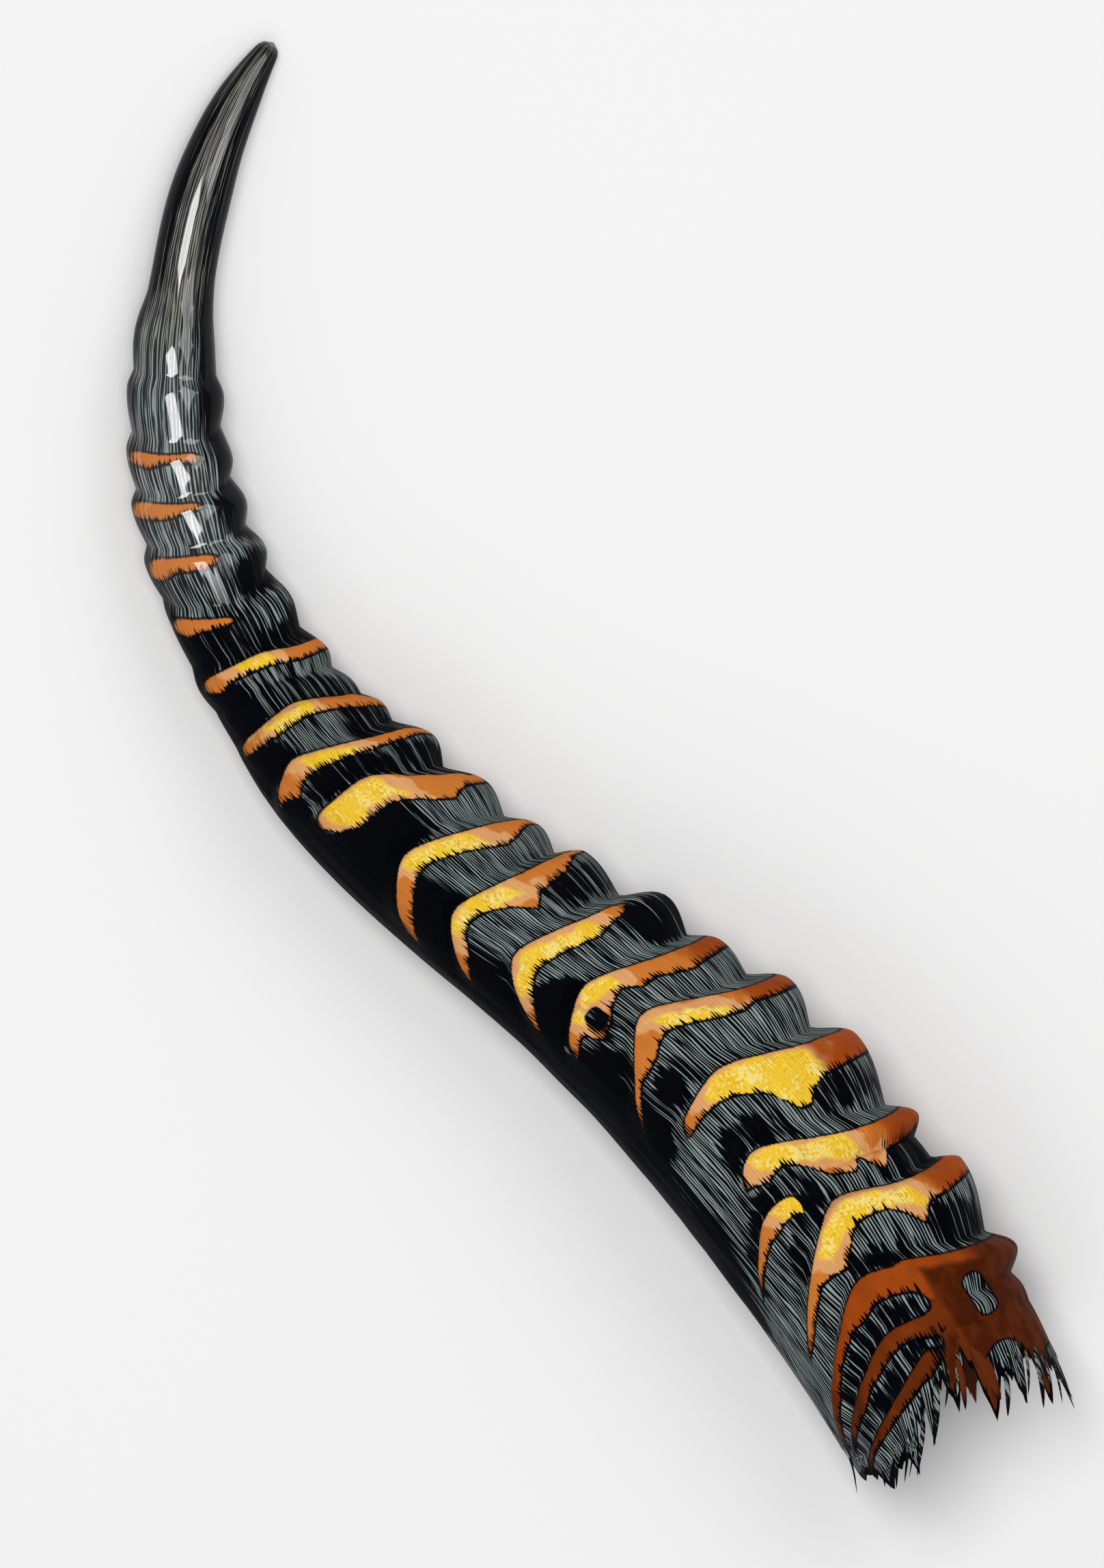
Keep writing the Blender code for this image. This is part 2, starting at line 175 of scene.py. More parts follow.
# %% Ring table
# The stations front, side and back of a crest are in mm: on the front, at the angle side_at, and at
# BACK_ANGLE. Its climb is 1 where it climbs evenly to the side, and more where it climbs late. Then come its
# height on the front in mm, its share of the full height on the side, its height on the back, the angle
# where it has died away, and how far on the way to the next crest their valley lies on the front. Angles are
# in degrees from the front.
Ring = namedtuple("Ring", "front side side_at back climb front_height side_share back_height end valley")
RINGS = [
    Ring(14.0, 23.5, 77, -3.0, 1.2, 0.0, 0.35, 0.0, 172, 0.45),
    Ring(22.5, 31.0, 100, 5.0, 1.8, 0.8, 0.50, 0.0, 172, 0.45),
    Ring(31.0, 49.0, 96, 11.5, 1.7, 5.0, 1.00, 0.0, 170, 0.28),
    Ring(55.0, 70.0, 83, 26.5, 2.2, 6.3, 1.00, 0.0, 148, 0.58),
    Ring(64.0, 76.0, 113, 50.5, 0.8, 0.0, 0.70, 0.0, 155, 0.40),
    Ring(71.0, 93.5, 98, 61.0, 1.9, 4.8, 0.90, 0.0, 130, 0.27),
    Ring(94.5, 113.0, 82, 99.5, 1.4, 7.4, 1.00, 0.0, 132, 0.43),
    Ring(114.5, 139.5, 87, 103.5, 1.5, 5.9, 1.00, 0.0, 152, 0.46),
    Ring(132.5, 154.0, 92, 139.0, 1.4, 3.6, 0.80, 0.0, 150, 0.40),
    Ring(150.5, 174.5, 106, 144.5, 1.0, 6.4, 1.00, 0.0, 155, 0.40),
    Ring(174.0, 193.0, 107, 171.0, 1.0, 5.0, 0.85, 0.0, 160, 0.45),
    Ring(188.5, 212.0, 99, 193.5, 0.9, 3.8, 0.90, 0.0, 162, 0.47),
    Ring(208.0, 232.5, 75, 233.0, 1.2, 4.4, 1.00, 0.0, 150, 0.58),
    Ring(228.0, 249.0, 111, 239.5, 0.8, 4.6, 1.00, 0.0, 178, 0.65),
    Ring(245.0, 259.5, 81, 258.0, 0.8, 1.8, 0.80, 0.2, 180, 0.50),
    Ring(257.0, 267.0, 90, 267.0, 1.0, 1.2, 0.45, 0.1, 180, 0.50),
    Ring(268.5, 275.0, 76, 276.5, 1.5, 2.4, 1.00, 1.1, 180, 0.50),
    Ring(287.0, 286.0, 82, 294.5, 0.9, 2.4, 1.00, 0.5, 180, 0.62),
    Ring(304.0, 304.0, 76, 309.0, 1.3, 2.6, 1.00, 1.8, 180, 0.52),
    Ring(318.5, 319.0, 94, 323.0, 1.2, 2.3, 1.00, 1.9, 180, 0.58),
    Ring(331.5, 332.5, 107, 335.5, 0.8, 1.7, 1.00, 1.6, 180, 0.52),
    Ring(350.0, 350.5, 100, 352.0, 1.0, 1.7, 0.90, 1.4, 180, 0.45),
    Ring(363.0, 365.0, 100, 367.0, 1.0, 0.0, 0.70, 1.2, 180, 0.45),
]
BACK_ANGLE, CORNER_ROUND, FRONT_ROUND = 160, 10, 0.22
SIDE_ANGLE, FADE_ANGLE, VALLEY_ANGLE = 70, 42, 60
VALLEY_ON_SIDE = 0.30
print(len(RINGS), "rings")


# %% The crest line of a ring, and its height
def turned_from_front(angle):
    """The angle to the front, whichever way round: 0 on the front and pi on the back."""
    return np.abs((angle + np.pi) % (2 * np.pi) - np.pi)


def crest_station(ring, from_front):
    """The station of a crest. One line climbs to the side as a power of the angle and one falls to the back.
    A hypotenuse rounds the corner where they meet, and another one the start of the climb on the front."""
    before_side = ring.side_at - np.degrees(from_front)
    rounded = np.hypot(before_side, CORNER_ROUND)
    share = np.clip(1 - (before_side + rounded) / 2 / ring.side_at, 0, None)
    climb = (np.hypot(share, FRONT_ROUND) - FRONT_ROUND) / (math.hypot(1, FRONT_ROUND) - FRONT_ROUND)
    past_side = (rounded - before_side) / 2 / (BACK_ANGLE - ring.side_at)
    to_side = (ring.side - ring.front) * climb ** ring.climb
    return (ring.front + to_side + (ring.back - ring.side) * past_side) * MM


def crest_height(ring, from_front, s):
    """The front height blends into the height on the side, which fades into the height on the back."""
    degrees = np.degrees(from_front)
    front, side = ring.front_height * MM, side_height(s) * ring.side_share
    height = front + (side - front) * smooth_step(0, SIDE_ANGLE, degrees)
    fade = smooth_step(ring.end - FADE_ANGLE, ring.end, degrees)
    return height + (ring.back_height * MM - height) * fade


# %% [markdown]
# ## Uneven growth
# Nothing grown is even. A lattice of seeded random numbers, smoothed between its points and closed round the
# horn, gives soft unevenness that is the same on each run. The same lattice makes fibre ridges when it is
# stretched far along the horn and packed closely round it.

# %% Noise on a lattice that closes round the horn
Lattice = namedtuple("Lattice", "height length number seed")
# Every lattice starts before the longest splinter and reaches past the tip. Both values are in metres.
LATTICE_START, LATTICE_LENGTH = -0.04, 0.6
JUST_INSIDE = 0.001


def lattice_noise(lattice, s, angle):
    """Random values up to the lattice's height, at steps of its length along the horn and at its number of
    places round it, blended with 3t^2 - 2t^3."""
    generator = np.random.default_rng(lattice.seed)
    table = generator.uniform(-1, 1, (int(LATTICE_LENGTH / lattice.length) + 3, lattice.number))
    row = np.clip((s - LATTICE_START) / lattice.length, 0, len(table) - 2 - JUST_INSIDE)
    column = (angle / (2 * np.pi) * lattice.number) % lattice.number
    r0, c0 = np.floor(row).astype(int), np.floor(column).astype(int) % lattice.number
    r1, c1 = r0 + 1, (c0 + 1) % lattice.number
    r, c = (smooth_step(0, 1, place - np.floor(place)) for place in (row, column))
    return lattice.height * ((table[r0, c0] * (1 - c) + table[r0, c1] * c) * (1 - r)
                             + (table[r1, c0] * (1 - c) + table[r1, c1] * c) * r)


# %% [markdown]
# ## The torn rim
# The base was torn off, so its rim is a row of long splinters with notches between them. The main ones stand
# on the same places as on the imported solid. Shorter spikes beside each one break up its edges.

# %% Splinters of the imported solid
# Angles are in degrees from the front, and stations in mm. The upper side is the one that is seen.
RIM_COLUMNS = 36
UPPER_ANGLES = [0, 11, 20, 31, 38, 47, 55, 62, 72, 80, 90, 97, 102, 113, 126, 140, 154, 167, 180]
UPPER_TIPS = [-11.1, -7.2, -3.8, -4.2, 2.4, -2.4, -7.6, -8.0, -2.8]
UPPER_NOTCHES = [3.0, 3.0, 8.4, 4.9, 15.0, 12.5, 8.5, -2.5, -2.0, 1.0]
LOWER_TIPS = [-2.0, 2.0, 4.0, 1.0, 6.0, 3.0, 5.0, 0.0, -2.0]
LOWER_NOTCHES = [3.0, 8.5, 11.0, 12.5, 14.5, 14.0, 12.5, 10.0, 7.0, 1.0]
SPLINTER_LEAN = 0.30
SPLINTER_ROOT_CLEARANCE = 2.5 * MM


def rim_corners():
    """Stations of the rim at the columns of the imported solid: notches on the even, tips on the odd ones."""
    half = RIM_COLUMNS // 2
    rim = np.zeros(RIM_COLUMNS)
    rim[0:half + 1:2] = UPPER_NOTCHES
    rim[1:half:2] = UPPER_TIPS
    lower = np.arange(RIM_COLUMNS, half - 1, -1) % RIM_COLUMNS
    rim[lower[0::2]] = LOWER_NOTCHES
    rim[lower[1::2]] = LOWER_TIPS
    return rim * MM


def corner_angles():
    """Angles of the corners and, after the last, a full turn: listed above and evenly spaced below."""
    half = RIM_COLUMNS // 2
    return np.radians(np.concatenate([UPPER_ANGLES, 180 + np.arange(1, half + 1) * 180 / half]))


def along_rim(values, position):
    """Straight lines between values spread evenly over the corners, closed. The position counts corners."""
    places = np.arange(len(values) + 1) * RIM_COLUMNS / len(values)
    return np.interp(position % RIM_COLUMNS, places, np.append(values, values[0]))


corners = rim_corners()
notches = corners.copy()
notches[1::2] = np.maximum(corners[0::2], np.roll(corners[0::2], -1))
print("the longest splinter stands", round((notches - corners).max() / MM, 1), "mm out of its notch")

# %% Spikes beside each splinter's tip
COLUMNS = 180
COLUMNS_PER_CORNER = COLUMNS // RIM_COLUMNS
SIDE_SPIKES = {1: (0.60, 0.85), 2: (0.30, 0.55), 3: (0.02, 0.15), 4: (0.12, 0.40)}
SPIKE_SEED = 7
column_position = np.arange(COLUMNS) / COLUMNS_PER_CORNER
column_angle = np.interp(column_position, np.arange(RIM_COLUMNS + 1), corner_angles())
from_front = turned_from_front(column_angle)


def spiky_rim():
    """Each splinter is a pointed finger of five columns with a short spike on each side. A column's length
    is a share of the splinter's own, drawn at random between the two limits in the table."""
    generator = np.random.default_rng(SPIKE_SEED)
    column = np.arange(COLUMNS)
    from_tip = np.abs(column % (2 * COLUMNS_PER_CORNER) - COLUMNS_PER_CORNER)
    splinter = 1 + 2 * (column // (2 * COLUMNS_PER_CORNER))
    share = np.where(from_tip == 0, 1.0, 0.0)
    for steps, (least, most) in SIDE_SPIKES.items():
        share = np.where(from_tip == steps, generator.uniform(least, most, COLUMNS), share)
    foot = along_rim(corners[0::2], column_position)
    return foot - (foot - corners[splinter]) * share


rim = spiky_rim()
root = along_rim(notches, column_position) + SPLINTER_ROOT_CLEARANCE
print("rim stations run from", round(rim.min() / MM, 1), "to", round(rim.max() / MM, 1), "mm")

# %% [markdown]
# ## One grid for the whole sheath
# The surface is a grid. Its columns run round the horn and its rows run from the closed end of the hollow,
# out over the rim, and along the horn to the tip. The rows follow the crests, so that every crest and every
# valley lies exactly on a row and stays crisp. The other way would be straight rows and a displacement,
# which needs many more faces for the same edge.

# %% Rows that follow the rings
FALL_ROWS, RISE_ROWS, TIP_ROWS = 7, 11, 62
FALL_POWER, RISE_POWER, TIP_ROW_POWER = 1.3, 1.1, 0.9
# The last ring falls to nothing within one part in LAST_FALL of the way to the tip.
LAST_FALL, TIP_GAP = 9, 0.02 * MM
CREST_WAVE = Lattice(0.6 * MM, 9 * MM, 26, 100)
FIRST_GAP, LEAST_GAP = 1.5 * MM, 1.2 * MM


def shares(rows):
    """0, 1/rows, 2/rows and so on, standing as a column so that each one gives a whole row of points. The 1
    is left out, because the next stretch starts with it."""
    return np.arange(rows)[:, None] / rows


def crest_lines():
    """The crests, slightly uneven. Where two would touch on the back, the next one keeps its distance."""
    lines, previous = [], root + FIRST_GAP - LEAST_GAP
    for number, ring in enumerate(RINGS):
        line = crest_station(ring, from_front)
        line = line + lattice_noise(CREST_WAVE._replace(seed=CREST_WAVE.seed + number), line, column_angle)
        previous = np.maximum(line, previous + LEAST_GAP)
        lines.append(previous)
    return lines


def ring_rows():
    """Stations and ring heights, row by row. From a crest the height falls as a cosine to the valley, and
    from the valley it rises as a sine to the next crest."""
    crests = crest_lines()
    to_side = smooth_step(0, VALLEY_ANGLE, np.degrees(from_front))
    fall, rise = shares(FALL_ROWS), shares(RISE_ROWS)
    stations, heights = [], []
    for ring, next_ring, crest, following in zip(RINGS[:-1], RINGS[1:], crests[:-1], crests[1:]):
        valley = crest + (following - crest) * (ring.valley + (VALLEY_ON_SIDE - ring.valley) * to_side)
        down, up = crest + (valley - crest) * fall, valley + (following - valley) * rise
        stations += [down, up]
        heights += [crest_height(ring, from_front, down) * np.cos(0.5 * np.pi * fall) ** FALL_POWER,
                    crest_height(next_ring, from_front, up) * np.sin(0.5 * np.pi * rise) ** RISE_POWER]
    last, to_tip = crests[-1], shares(TIP_ROWS) ** TIP_ROW_POWER
    fade = np.cos(0.5 * np.pi * np.clip(to_tip * LAST_FALL, 0, 1)) ** FALL_POWER
    stations.append(last + (HORN_LENGTH - TIP_GAP - last) * to_tip)
    heights.append(crest_height(RINGS[-1], from_front, last) * fade)
    return np.concatenate(stations), np.concatenate(heights)


stations, heights = ring_rows()
print("rows from the first crest to the tip:", len(stations))

# %% Rows from the rim to the first crest
BASE_ROWS, BASE_RISE = 16, 0.3
base_share = shares(BASE_ROWS)
outer_stations = np.concatenate([rim + (stations[0] - rim) * base_share, stations])
outer_heights = np.concatenate([heights[0] * smooth_step(BASE_RISE, 1, base_share), heights])
print("outer rows:", len(outer_stations))

# %% [markdown]
# ## Fibres in relief
# Keratin grows as fibres that run from base to tip. The coarse bundles of them are real ridges that catch
# the light, so they are moved points and not only shading. They fade out towards the polished tip.

# %% Relief of the fibre bundles
BUNDLES, FINE_FIBRES = Lattice(0.35 * MM, 26 * MM, 46, 21), Lattice(0.20 * MM, 15 * MM, 90, 22)
SURFACE_INSET = 0.25 * MM
POLISH_START, POLISH_END, POLISH_FADE = 278 * MM, 326 * MM, 0.85
FULL_RELIEF_RADIUS = 30 * MM
RIM_FADE, TIP_FADE = (-20 * MM, 10 * MM), (0, 12 * MM)


def fibre_relief(s, angle):
    """Two stretched lattices, one of broad bundles and one of fine ones, faded by the polish of the tip."""
    both = lattice_noise(BUNDLES, s, angle) + lattice_noise(FINE_FIBRES, s, angle)
    fade = 1 - POLISH_FADE * smooth_step(POLISH_START, POLISH_END, s)
    return both * fade * np.clip(valley_radius(s) / FULL_RELIEF_RADIUS, 0, 1)


def leaned_surface(stations, radii):
    """Whole rows of points. Below the splinters' root a point turns towards the back: by the lean, times its
    distance from the root over the radius, times the sine of its angle."""
    lean = SPLINTER_LEAN * np.clip(root - stations, 0, None) / valley_radius(stations)
    return surface_point(stations, column_angle + lean * np.sin(column_angle), radii)


relief = fibre_relief(outer_stations, column_angle) * smooth_step(*RIM_FADE, outer_stations) - SURFACE_INSET
outer_radii = (valley_radius(outer_stations) + np.maximum(outer_heights, 0)
               + relief * smooth_step(*TIP_FADE, HORN_LENGTH - outer_stations))
outer = leaned_surface(outer_stations, outer_radii)
print("the relief is", round(float(np.ptp(relief)) / MM, 2), "mm from lowest to highest")

# %% [markdown]
# ## The hollow
# On the living animal a bony core fills the base of the sheath. It is gone here, so the base is a hollow
# that narrows to a rounded end. Its wall is thin as card at the torn edge and thicker further in.

# %% Inner rows
HOLLOW_DEPTH, HOLLOW_POWER = 115 * MM, 2.4
WALL_AT_EDGE, WALL_AT_ROOT, WALL_AT_DEPTH = 0.4 * MM, 2.4 * MM, 4.5 * MM
INNER_ROWS, EDGE_ROWS = 20, 8
INNER_RELIEF, RELIEF_FULL_AT = Lattice(0.5 * MM, 30 * MM, 60, 31), 0.5

edge, inner = shares(EDGE_ROWS), shares(INNER_ROWS)
hollow_stations = np.concatenate([rim + (root - rim) * edge, root + (HOLLOW_DEPTH - root) * inner])
hollow_walls = np.concatenate([WALL_AT_EDGE + (WALL_AT_ROOT - WALL_AT_EDGE) * edge,
                               WALL_AT_ROOT + (WALL_AT_DEPTH - WALL_AT_ROOT) * inner])
closing = np.concatenate([np.ones((EDGE_ROWS, 1)), np.sqrt(1 - inner ** HOLLOW_POWER)])
fade_in = smooth_step(0, RELIEF_FULL_AT, np.concatenate([edge, np.ones((INNER_ROWS, 1))]))
hollow_relief = lattice_noise(INNER_RELIEF, hollow_stations, column_angle) * fade_in
hollow_radii = (valley_radius(hollow_stations) - hollow_walls + hollow_relief) * closing
hollow = leaned_surface(hollow_stations, hollow_radii)
hollow_end, tip_end = (surface_point(np.array([s]), 0.0, 0.0) for s in (HOLLOW_DEPTH, HORN_LENGTH))
print("the hollow is", round((HOLLOW_DEPTH - rim.min()) / MM), "mm deep")


# %% [markdown]
# ## From grids to meshes
# A closed tube of points becomes a mesh with one rule: each point is joined to its neighbours round the tube
# and along it, and a fan closes each end. The rule is worked out for all points at once, and it serves the
# sheath and every loose strand alike.

# %% Closed tubes
def tube_mesh(name, start_points, rings, end_points, attributes):
    """rings holds tubes by rows by columns of points. Quads join row r to r + 1 and column c to c + 1,
    closed round the tube, and triangles join the end rows to the start and end points."""
    tubes, rows, columns = rings.shape[:3]
    size = rows * columns + 2
    points = np.concatenate([start_points[:, None], rings.reshape(tubes, rows * columns, 3),
                             end_points[:, None]], axis=1).reshape(-1, 3)
    r, c = np.meshgrid(np.arange(rows - 1), np.arange(columns), indexing="ij")
    following = (c + 1) % columns
    quads = 1 + np.stack([r * columns + c, (r + 1) * columns + c, (r + 1) * columns + following,
                          r * columns + following], axis=-1).reshape(-1, 4)
    k = np.arange(columns)
    first = np.stack([np.zeros_like(k), 1 + k, 1 + (k + 1) % columns], axis=-1)
    last_row = 1 + (rows - 1) * columns
    last = np.stack([np.full_like(k, size - 1), last_row + (k + 1) % columns, last_row + k], axis=-1)
    corner = np.concatenate([first.ravel(), quads.ravel(), last.ravel()])
    corner = (corner[None] + size * np.arange(tubes)[:, None]).ravel()
    sides = np.tile(np.concatenate([np.full(columns, 3), np.full(len(quads), 4), np.full(columns, 3)]), tubes)

    mesh = bpy.data.meshes.new(name)
    mesh.vertices.add(len(points))
    mesh.vertices.foreach_set("co", points.ravel())
    mesh.loops.add(len(corner))
    mesh.loops.foreach_set("vertex_index", corner)
    mesh.polygons.add(len(sides))
    mesh.polygons.foreach_set("loop_start", np.concatenate([[0], np.cumsum(sides)[:-1]]))
    mesh.update(calc_edges=True)
    mesh.shade_smooth()
    for title, values in attributes.items():
        ends = values[:, 0].mean(axis=1, keepdims=True), values[:, -1].mean(axis=1, keepdims=True)
        whole = np.concatenate([ends[0], values.reshape(tubes, rows * columns, 3), ends[1]], axis=1)
        layer = mesh.attributes.new(title, "FLOAT_VECTOR", "POINT")
        layer.data.foreach_set("vector", whole.ravel())
    piece = bpy.data.objects.new(name, mesh)
    bpy.context.scene.collection.objects.link(piece)
    print(name, "has", int((sides - 2).sum()), "triangles")
    return piece


# %% [markdown]
# ## Where the amber shows
# The crests are worn, and there the dark skin of the horn is gone and amber keratin shows. Each ring has a
# band of it. Towards the tip the band ends cleanly, just past the crest. Towards the base it is frayed,
# where single fibres run out of it. A band is given by its width at a few places across the face. A place is
# the distance from the centre line as seen square to the face, positive towards the front.

# %% Band table
# Places, widths and the limits of the gold are in mm. Gold lies between its first and last place, and
# between the distances near and far behind the band's tipward edge; it is partly the amber's own colour and
# partly painted highlight. Rust is how red-brown the band is.
Band = namedtuple("Band", "ring places widths gold rust")
Gold = namedtuple("Gold", "first last near far")
BANDS = [
    Band(0, [-28, -24, -12, -4, 0, 4], [3, 2.5, 4, 5, 6, 4], None, 0.85),
    Band(1, [-28, -20, -16, -12, 0, 4, 11], [3.5, 5, 4, 5, 5, 6, 4], None, 0.80),
    Band(2, [-31, -24, -20, -12, -8, 0, 50], [4, 5, 4, 5, 8, 8, 6], None, 0.6),
    Band(3, [-26, -20, -12, -8, -4, 0, 4, 8, 14, 17, 20, 24, 50], [2, 4, 5, 8, 12, 11, 9, 8, 7, 9, 13, 8, 5],
         Gold(-7, 23, 1.3, 7.5), 0.0),
    Band(4, [-27, -20, -12, -8, -4, -2], [2, 4, 6, 5, 6, 3], Gold(-10, -2, 0.2, 9), 0.0),
    Band(5, [-12, -8, -6, 0, 4, 8, 14, 16, 20, 24, 50], [3, 7, 9, 7, 8, 12, 12, 7.5, 13, 7, 5],
         Gold(-6, 18.5, 0.7, 7.5), 0.1),
    Band(6, [-14, -8, -2, 4, 10, 13, 16, 20, 24, 50], [4, 4.5, 6, 9, 12, 18, 17, 12, 10, 6],
         Gold(-3, 25, 1.0, 30), 0.0),
    Band(7, [-21, -16, -12, -8, -4, 12, 20, 24, 50], [3, 2.5, 3, 6, 8, 8, 7, 5, 5],
         Gold(2, 17, 2.6, 9), 0.12),
    Band(8, [-18, -12, -10, -4, 0, 4, 8, 12, 20, 24, 50], [4, 4.5, 11, 11, 8.5, 6, 7.5, 6, 7, 6, 3],
         Gold(-9, 5, 0.3, 4.5), 0.08),
    Band(9, [-18, -12, -8, 4, 12, 16, 20, 24], [4, 7, 7.5, 7, 7, 5, 4, 1], Gold(-13, 14, 1.6, 20), 0.0),
    Band(10, [-19, -12, -8, 0, 4, 8, 12, 20, 25, 50], [3, 6, 5, 6, 8, 12, 7.5, 6, 3, 2],
         Gold(-10, 9, 0.6, 6.5), 0.0),
    Band(11, [-19, -12, 0, 8, 16, 20, 24, 50], [5, 6, 6, 6.5, 8, 6, 3, 2], Gold(-5, 13, 0.8, 20), 0.0),
    Band(12, [-14, -11, -6, 8, 16, 20, 25, 50], [3, 7, 10, 10, 10, 6, 4, 2], Gold(-10, 8, 0.8, 8.5), 0.0),
    Band(13, [-18, -16, -12, -8, 0, 8, 20, 50], [2, 3, 7, 6, 5, 4, 3.5, 2], Gold(-5, 8, 1.4, 20), 0.0),
    Band(14, [-17, -12, 0, 12, 16, 50], [3, 4, 5, 5, 6, 3], Gold(-7, 6, 0.8, 20), 0.0),
    Band(16, [-16, -12, -8, 8, 50], [2.5, 5, 3.5, 4.5, 3], Gold(-4, 5, 0.4, 20), 0.0),
    Band(17, [-15, -12, -8, -4, 3], [4, 5, 3.5, 3, 1], None, 0.05),
    Band(18, [-15, -12, -8, 0, 5], [5, 6, 4, 4, 2], None, 0.0),
    Band(19, [-15, -12, -6, 0, 5], [4.5, 4.5, 4, 2.5, 2], None, 0.0),
    Band(20, [-14, -8, -4, 0, 4, 7], [3.5, 4, 2.5, 2.5, 3, 2], None, 0.0),
]
LEAD_AT_FRONT, LEAD_ON_SIDE, LEAD_ANGLES = 3.4 * MM, 2.0 * MM, (10, 60)
CORNER_CUT = 5.0
print(sum(len(band.places) for band in BANDS), "widths in", len(BANDS), "bands")


# %% How deep a point lies inside a band
def tip_edge(ring, angle):
    """The station where a ring's band ends towards the tip. It leads the crest, by more on the front."""
    turned = turned_from_front(angle)
    lead = LEAD_AT_FRONT + (LEAD_ON_SIDE - LEAD_AT_FRONT) * smooth_step(*LEAD_ANGLES, np.degrees(turned))
    return crest_station(ring, turned) + lead


def rounded_maximum(first, second, radius):
    """The larger of two distances, with the sharp corner where they are equal filled in by a parabola."""
    gap = np.clip(radius - np.abs(first - second), 0, None)
    return np.maximum(first, second) + gap ** 2 / (4 * radius)


def band_depth(band, s, angle, place):
    """Distances inside a band, in mm, positive inside it: from its tipward edge, from its nearest other
    edge, and from the rounded corners at its two ends."""
    tipward = (tip_edge(RINGS[band.ring], angle) - s) / MM
    width = np.interp(place, band.places, band.widths)
    ends = np.minimum(place - band.places[0], band.places[-1] - place)
    return tipward, np.minimum(width - tipward, ends), -rounded_maximum(-tipward, -ends, CORNER_CUT)


def box_depth(s, place, station, middle, half_length, half_width, corner):
    """Distance inside a box with round corners on the face, in mm: negative outside it."""
    lengthwise = np.abs(s / MM - station) - (half_length - corner)
    across = np.abs(place - middle) - (half_width - corner)
    outside = np.hypot(np.maximum(lengthwise, 0), np.maximum(across, 0))
    return corner - outside - np.minimum(np.maximum(lengthwise, across), 0)


# %% [markdown]
# At the base the three lowest bands run together on the front into one brown mass, which goes down over the
# splinters. Three places in it are still dark skin. A small hole in a band further up is painted black, as
# painted shade.

# %% Depth, fraying and colour of the amber
MASS_RING, MASS_EDGE, MASS_BLEND = 2, 9.5, 5.0
TONGUE_STATIONS, TONGUE_PLACES = [-5, 8, 14, 22], [-1.5, 3.5, 6.0, 9.5]
TONGUE_HALF_WIDTH, TONGUE_TOP = 1.7, 22
DARK_PLACES = [(26.0, 21.3, 5.8, 3.0, 2.4), (1.0, 19.0, 12.5, 4.2, 3.5), (-2.0, 33.5, 9.0, 5.5, 3.0),
               (145.2, -6.3, 3.0, 2.3, 1.8)]
FAR_OUTSIDE, FAR_INSIDE, DARK_RIM, FRAY_BLEND = -20.0, 20, 2.2, 1.5
GOLD_SLANT, OFF_GOLD_LIMIT, NO_GOLD = 0.5, 12.0, Gold(60, 60, 0, 0)
# Painted shade in rust: the bands darken towards an edge of the face, from start to full as shares of the
# radius, below a certain ring.
EdgeShade = namedtuple("EdgeShade", "most start full below_ring")
EDGE_SHADES = [EdgeShade(0.5, 0.66, 1.0, 9), EdgeShade(0.25, -0.5, -0.85, 12)]
MASS_RUST, TONGUE_RUST = (-3, 4), (-0.5, 0.5)


def base_mass(s, angle, place):
    """Depth in the brown mass, below the third band's edge and in front of a line, and in its tongue."""
    tipward = (tip_edge(RINGS[MASS_RING], angle) - s) / MM
    body = np.minimum(tipward, place - MASS_EDGE)
    tongue = TONGUE_HALF_WIDTH - np.abs(place - np.interp(s / MM, TONGUE_STATIONS, TONGUE_PLACES))
    return body, np.minimum(tongue, TONGUE_TOP - s / MM)


def amber_fields(s, angle, place):
    """For each point: its depth in the deepest band, how frayed that band's edge is there, its distance
    outside the gold of the band, which is partly painted highlight, and its share of rust, which towards the
    edges of the face is painted shade."""
    share_out = place / (valley_radius(s) / MM)
    depth, frayed = np.full(s.shape, FAR_OUTSIDE), np.zeros(s.shape)
    off_gold_and_highlight, rust = np.full(s.shape, OFF_GOLD_LIMIT), np.zeros(s.shape)
    for band in BANDS:
        tipward, other, rounded = band_depth(band, s, angle, place)
        inside = np.minimum(rounded, other)
        chosen = inside > depth
        depth = np.maximum(depth, inside)
        frayed = np.where(chosen, smooth_step(-FRAY_BLEND, FRAY_BLEND, tipward - other), frayed)
        gold = band.gold or NO_GOLD
        slanted = place - GOLD_SLANT * (tipward - other) / 2
        past_ends = np.maximum(gold.first - slanted, slanted - gold.last)
        past_sides = np.maximum(gold.near - tipward, tipward - gold.far)
        off_gold_and_highlight = np.where(chosen, np.maximum(past_ends, past_sides), off_gold_and_highlight)
        # painted shade: rust grows towards the front and back edges of the face
        edge_shade = sum(edge.most * smooth_step(edge.start, edge.full, share_out)
                        for edge in EDGE_SHADES if band.ring < edge.below_ring)
        rust = np.where(chosen, band.rust + edge_shade, rust)
    body, tongue = base_mass(s, angle, place)
    rust = np.maximum(rust, np.maximum(smooth_step(*MASS_RUST, body), smooth_step(*TONGUE_RUST, tongue)))
    mass = np.maximum(body, tongue)
    frayed = np.where(mass > depth, 0.0, frayed)
    depth = rounded_maximum(depth, mass, MASS_BLEND)
    for station, middle, half_length, half_width, corner in DARK_PLACES:
        depth = np.minimum(depth, -box_depth(s, place, station, middle, half_length, half_width, corner))
    depth = np.clip(depth, FAR_OUTSIDE, FAR_INSIDE)
    return depth, frayed, np.clip(off_gold_and_highlight, -OFF_GOLD_LIMIT, OFF_GOLD_LIMIT), rust


outer_places = outer_radii / MM * np.cos(column_angle)
depth, frayed, off_gold_and_highlight, rust = amber_fields(outer_stations, column_angle, outer_places)
depth = np.minimum(depth, (outer_stations - rim) / MM - DARK_RIM)
print("share of the outside that is amber:", round(float((depth > 0).mean()), 2))
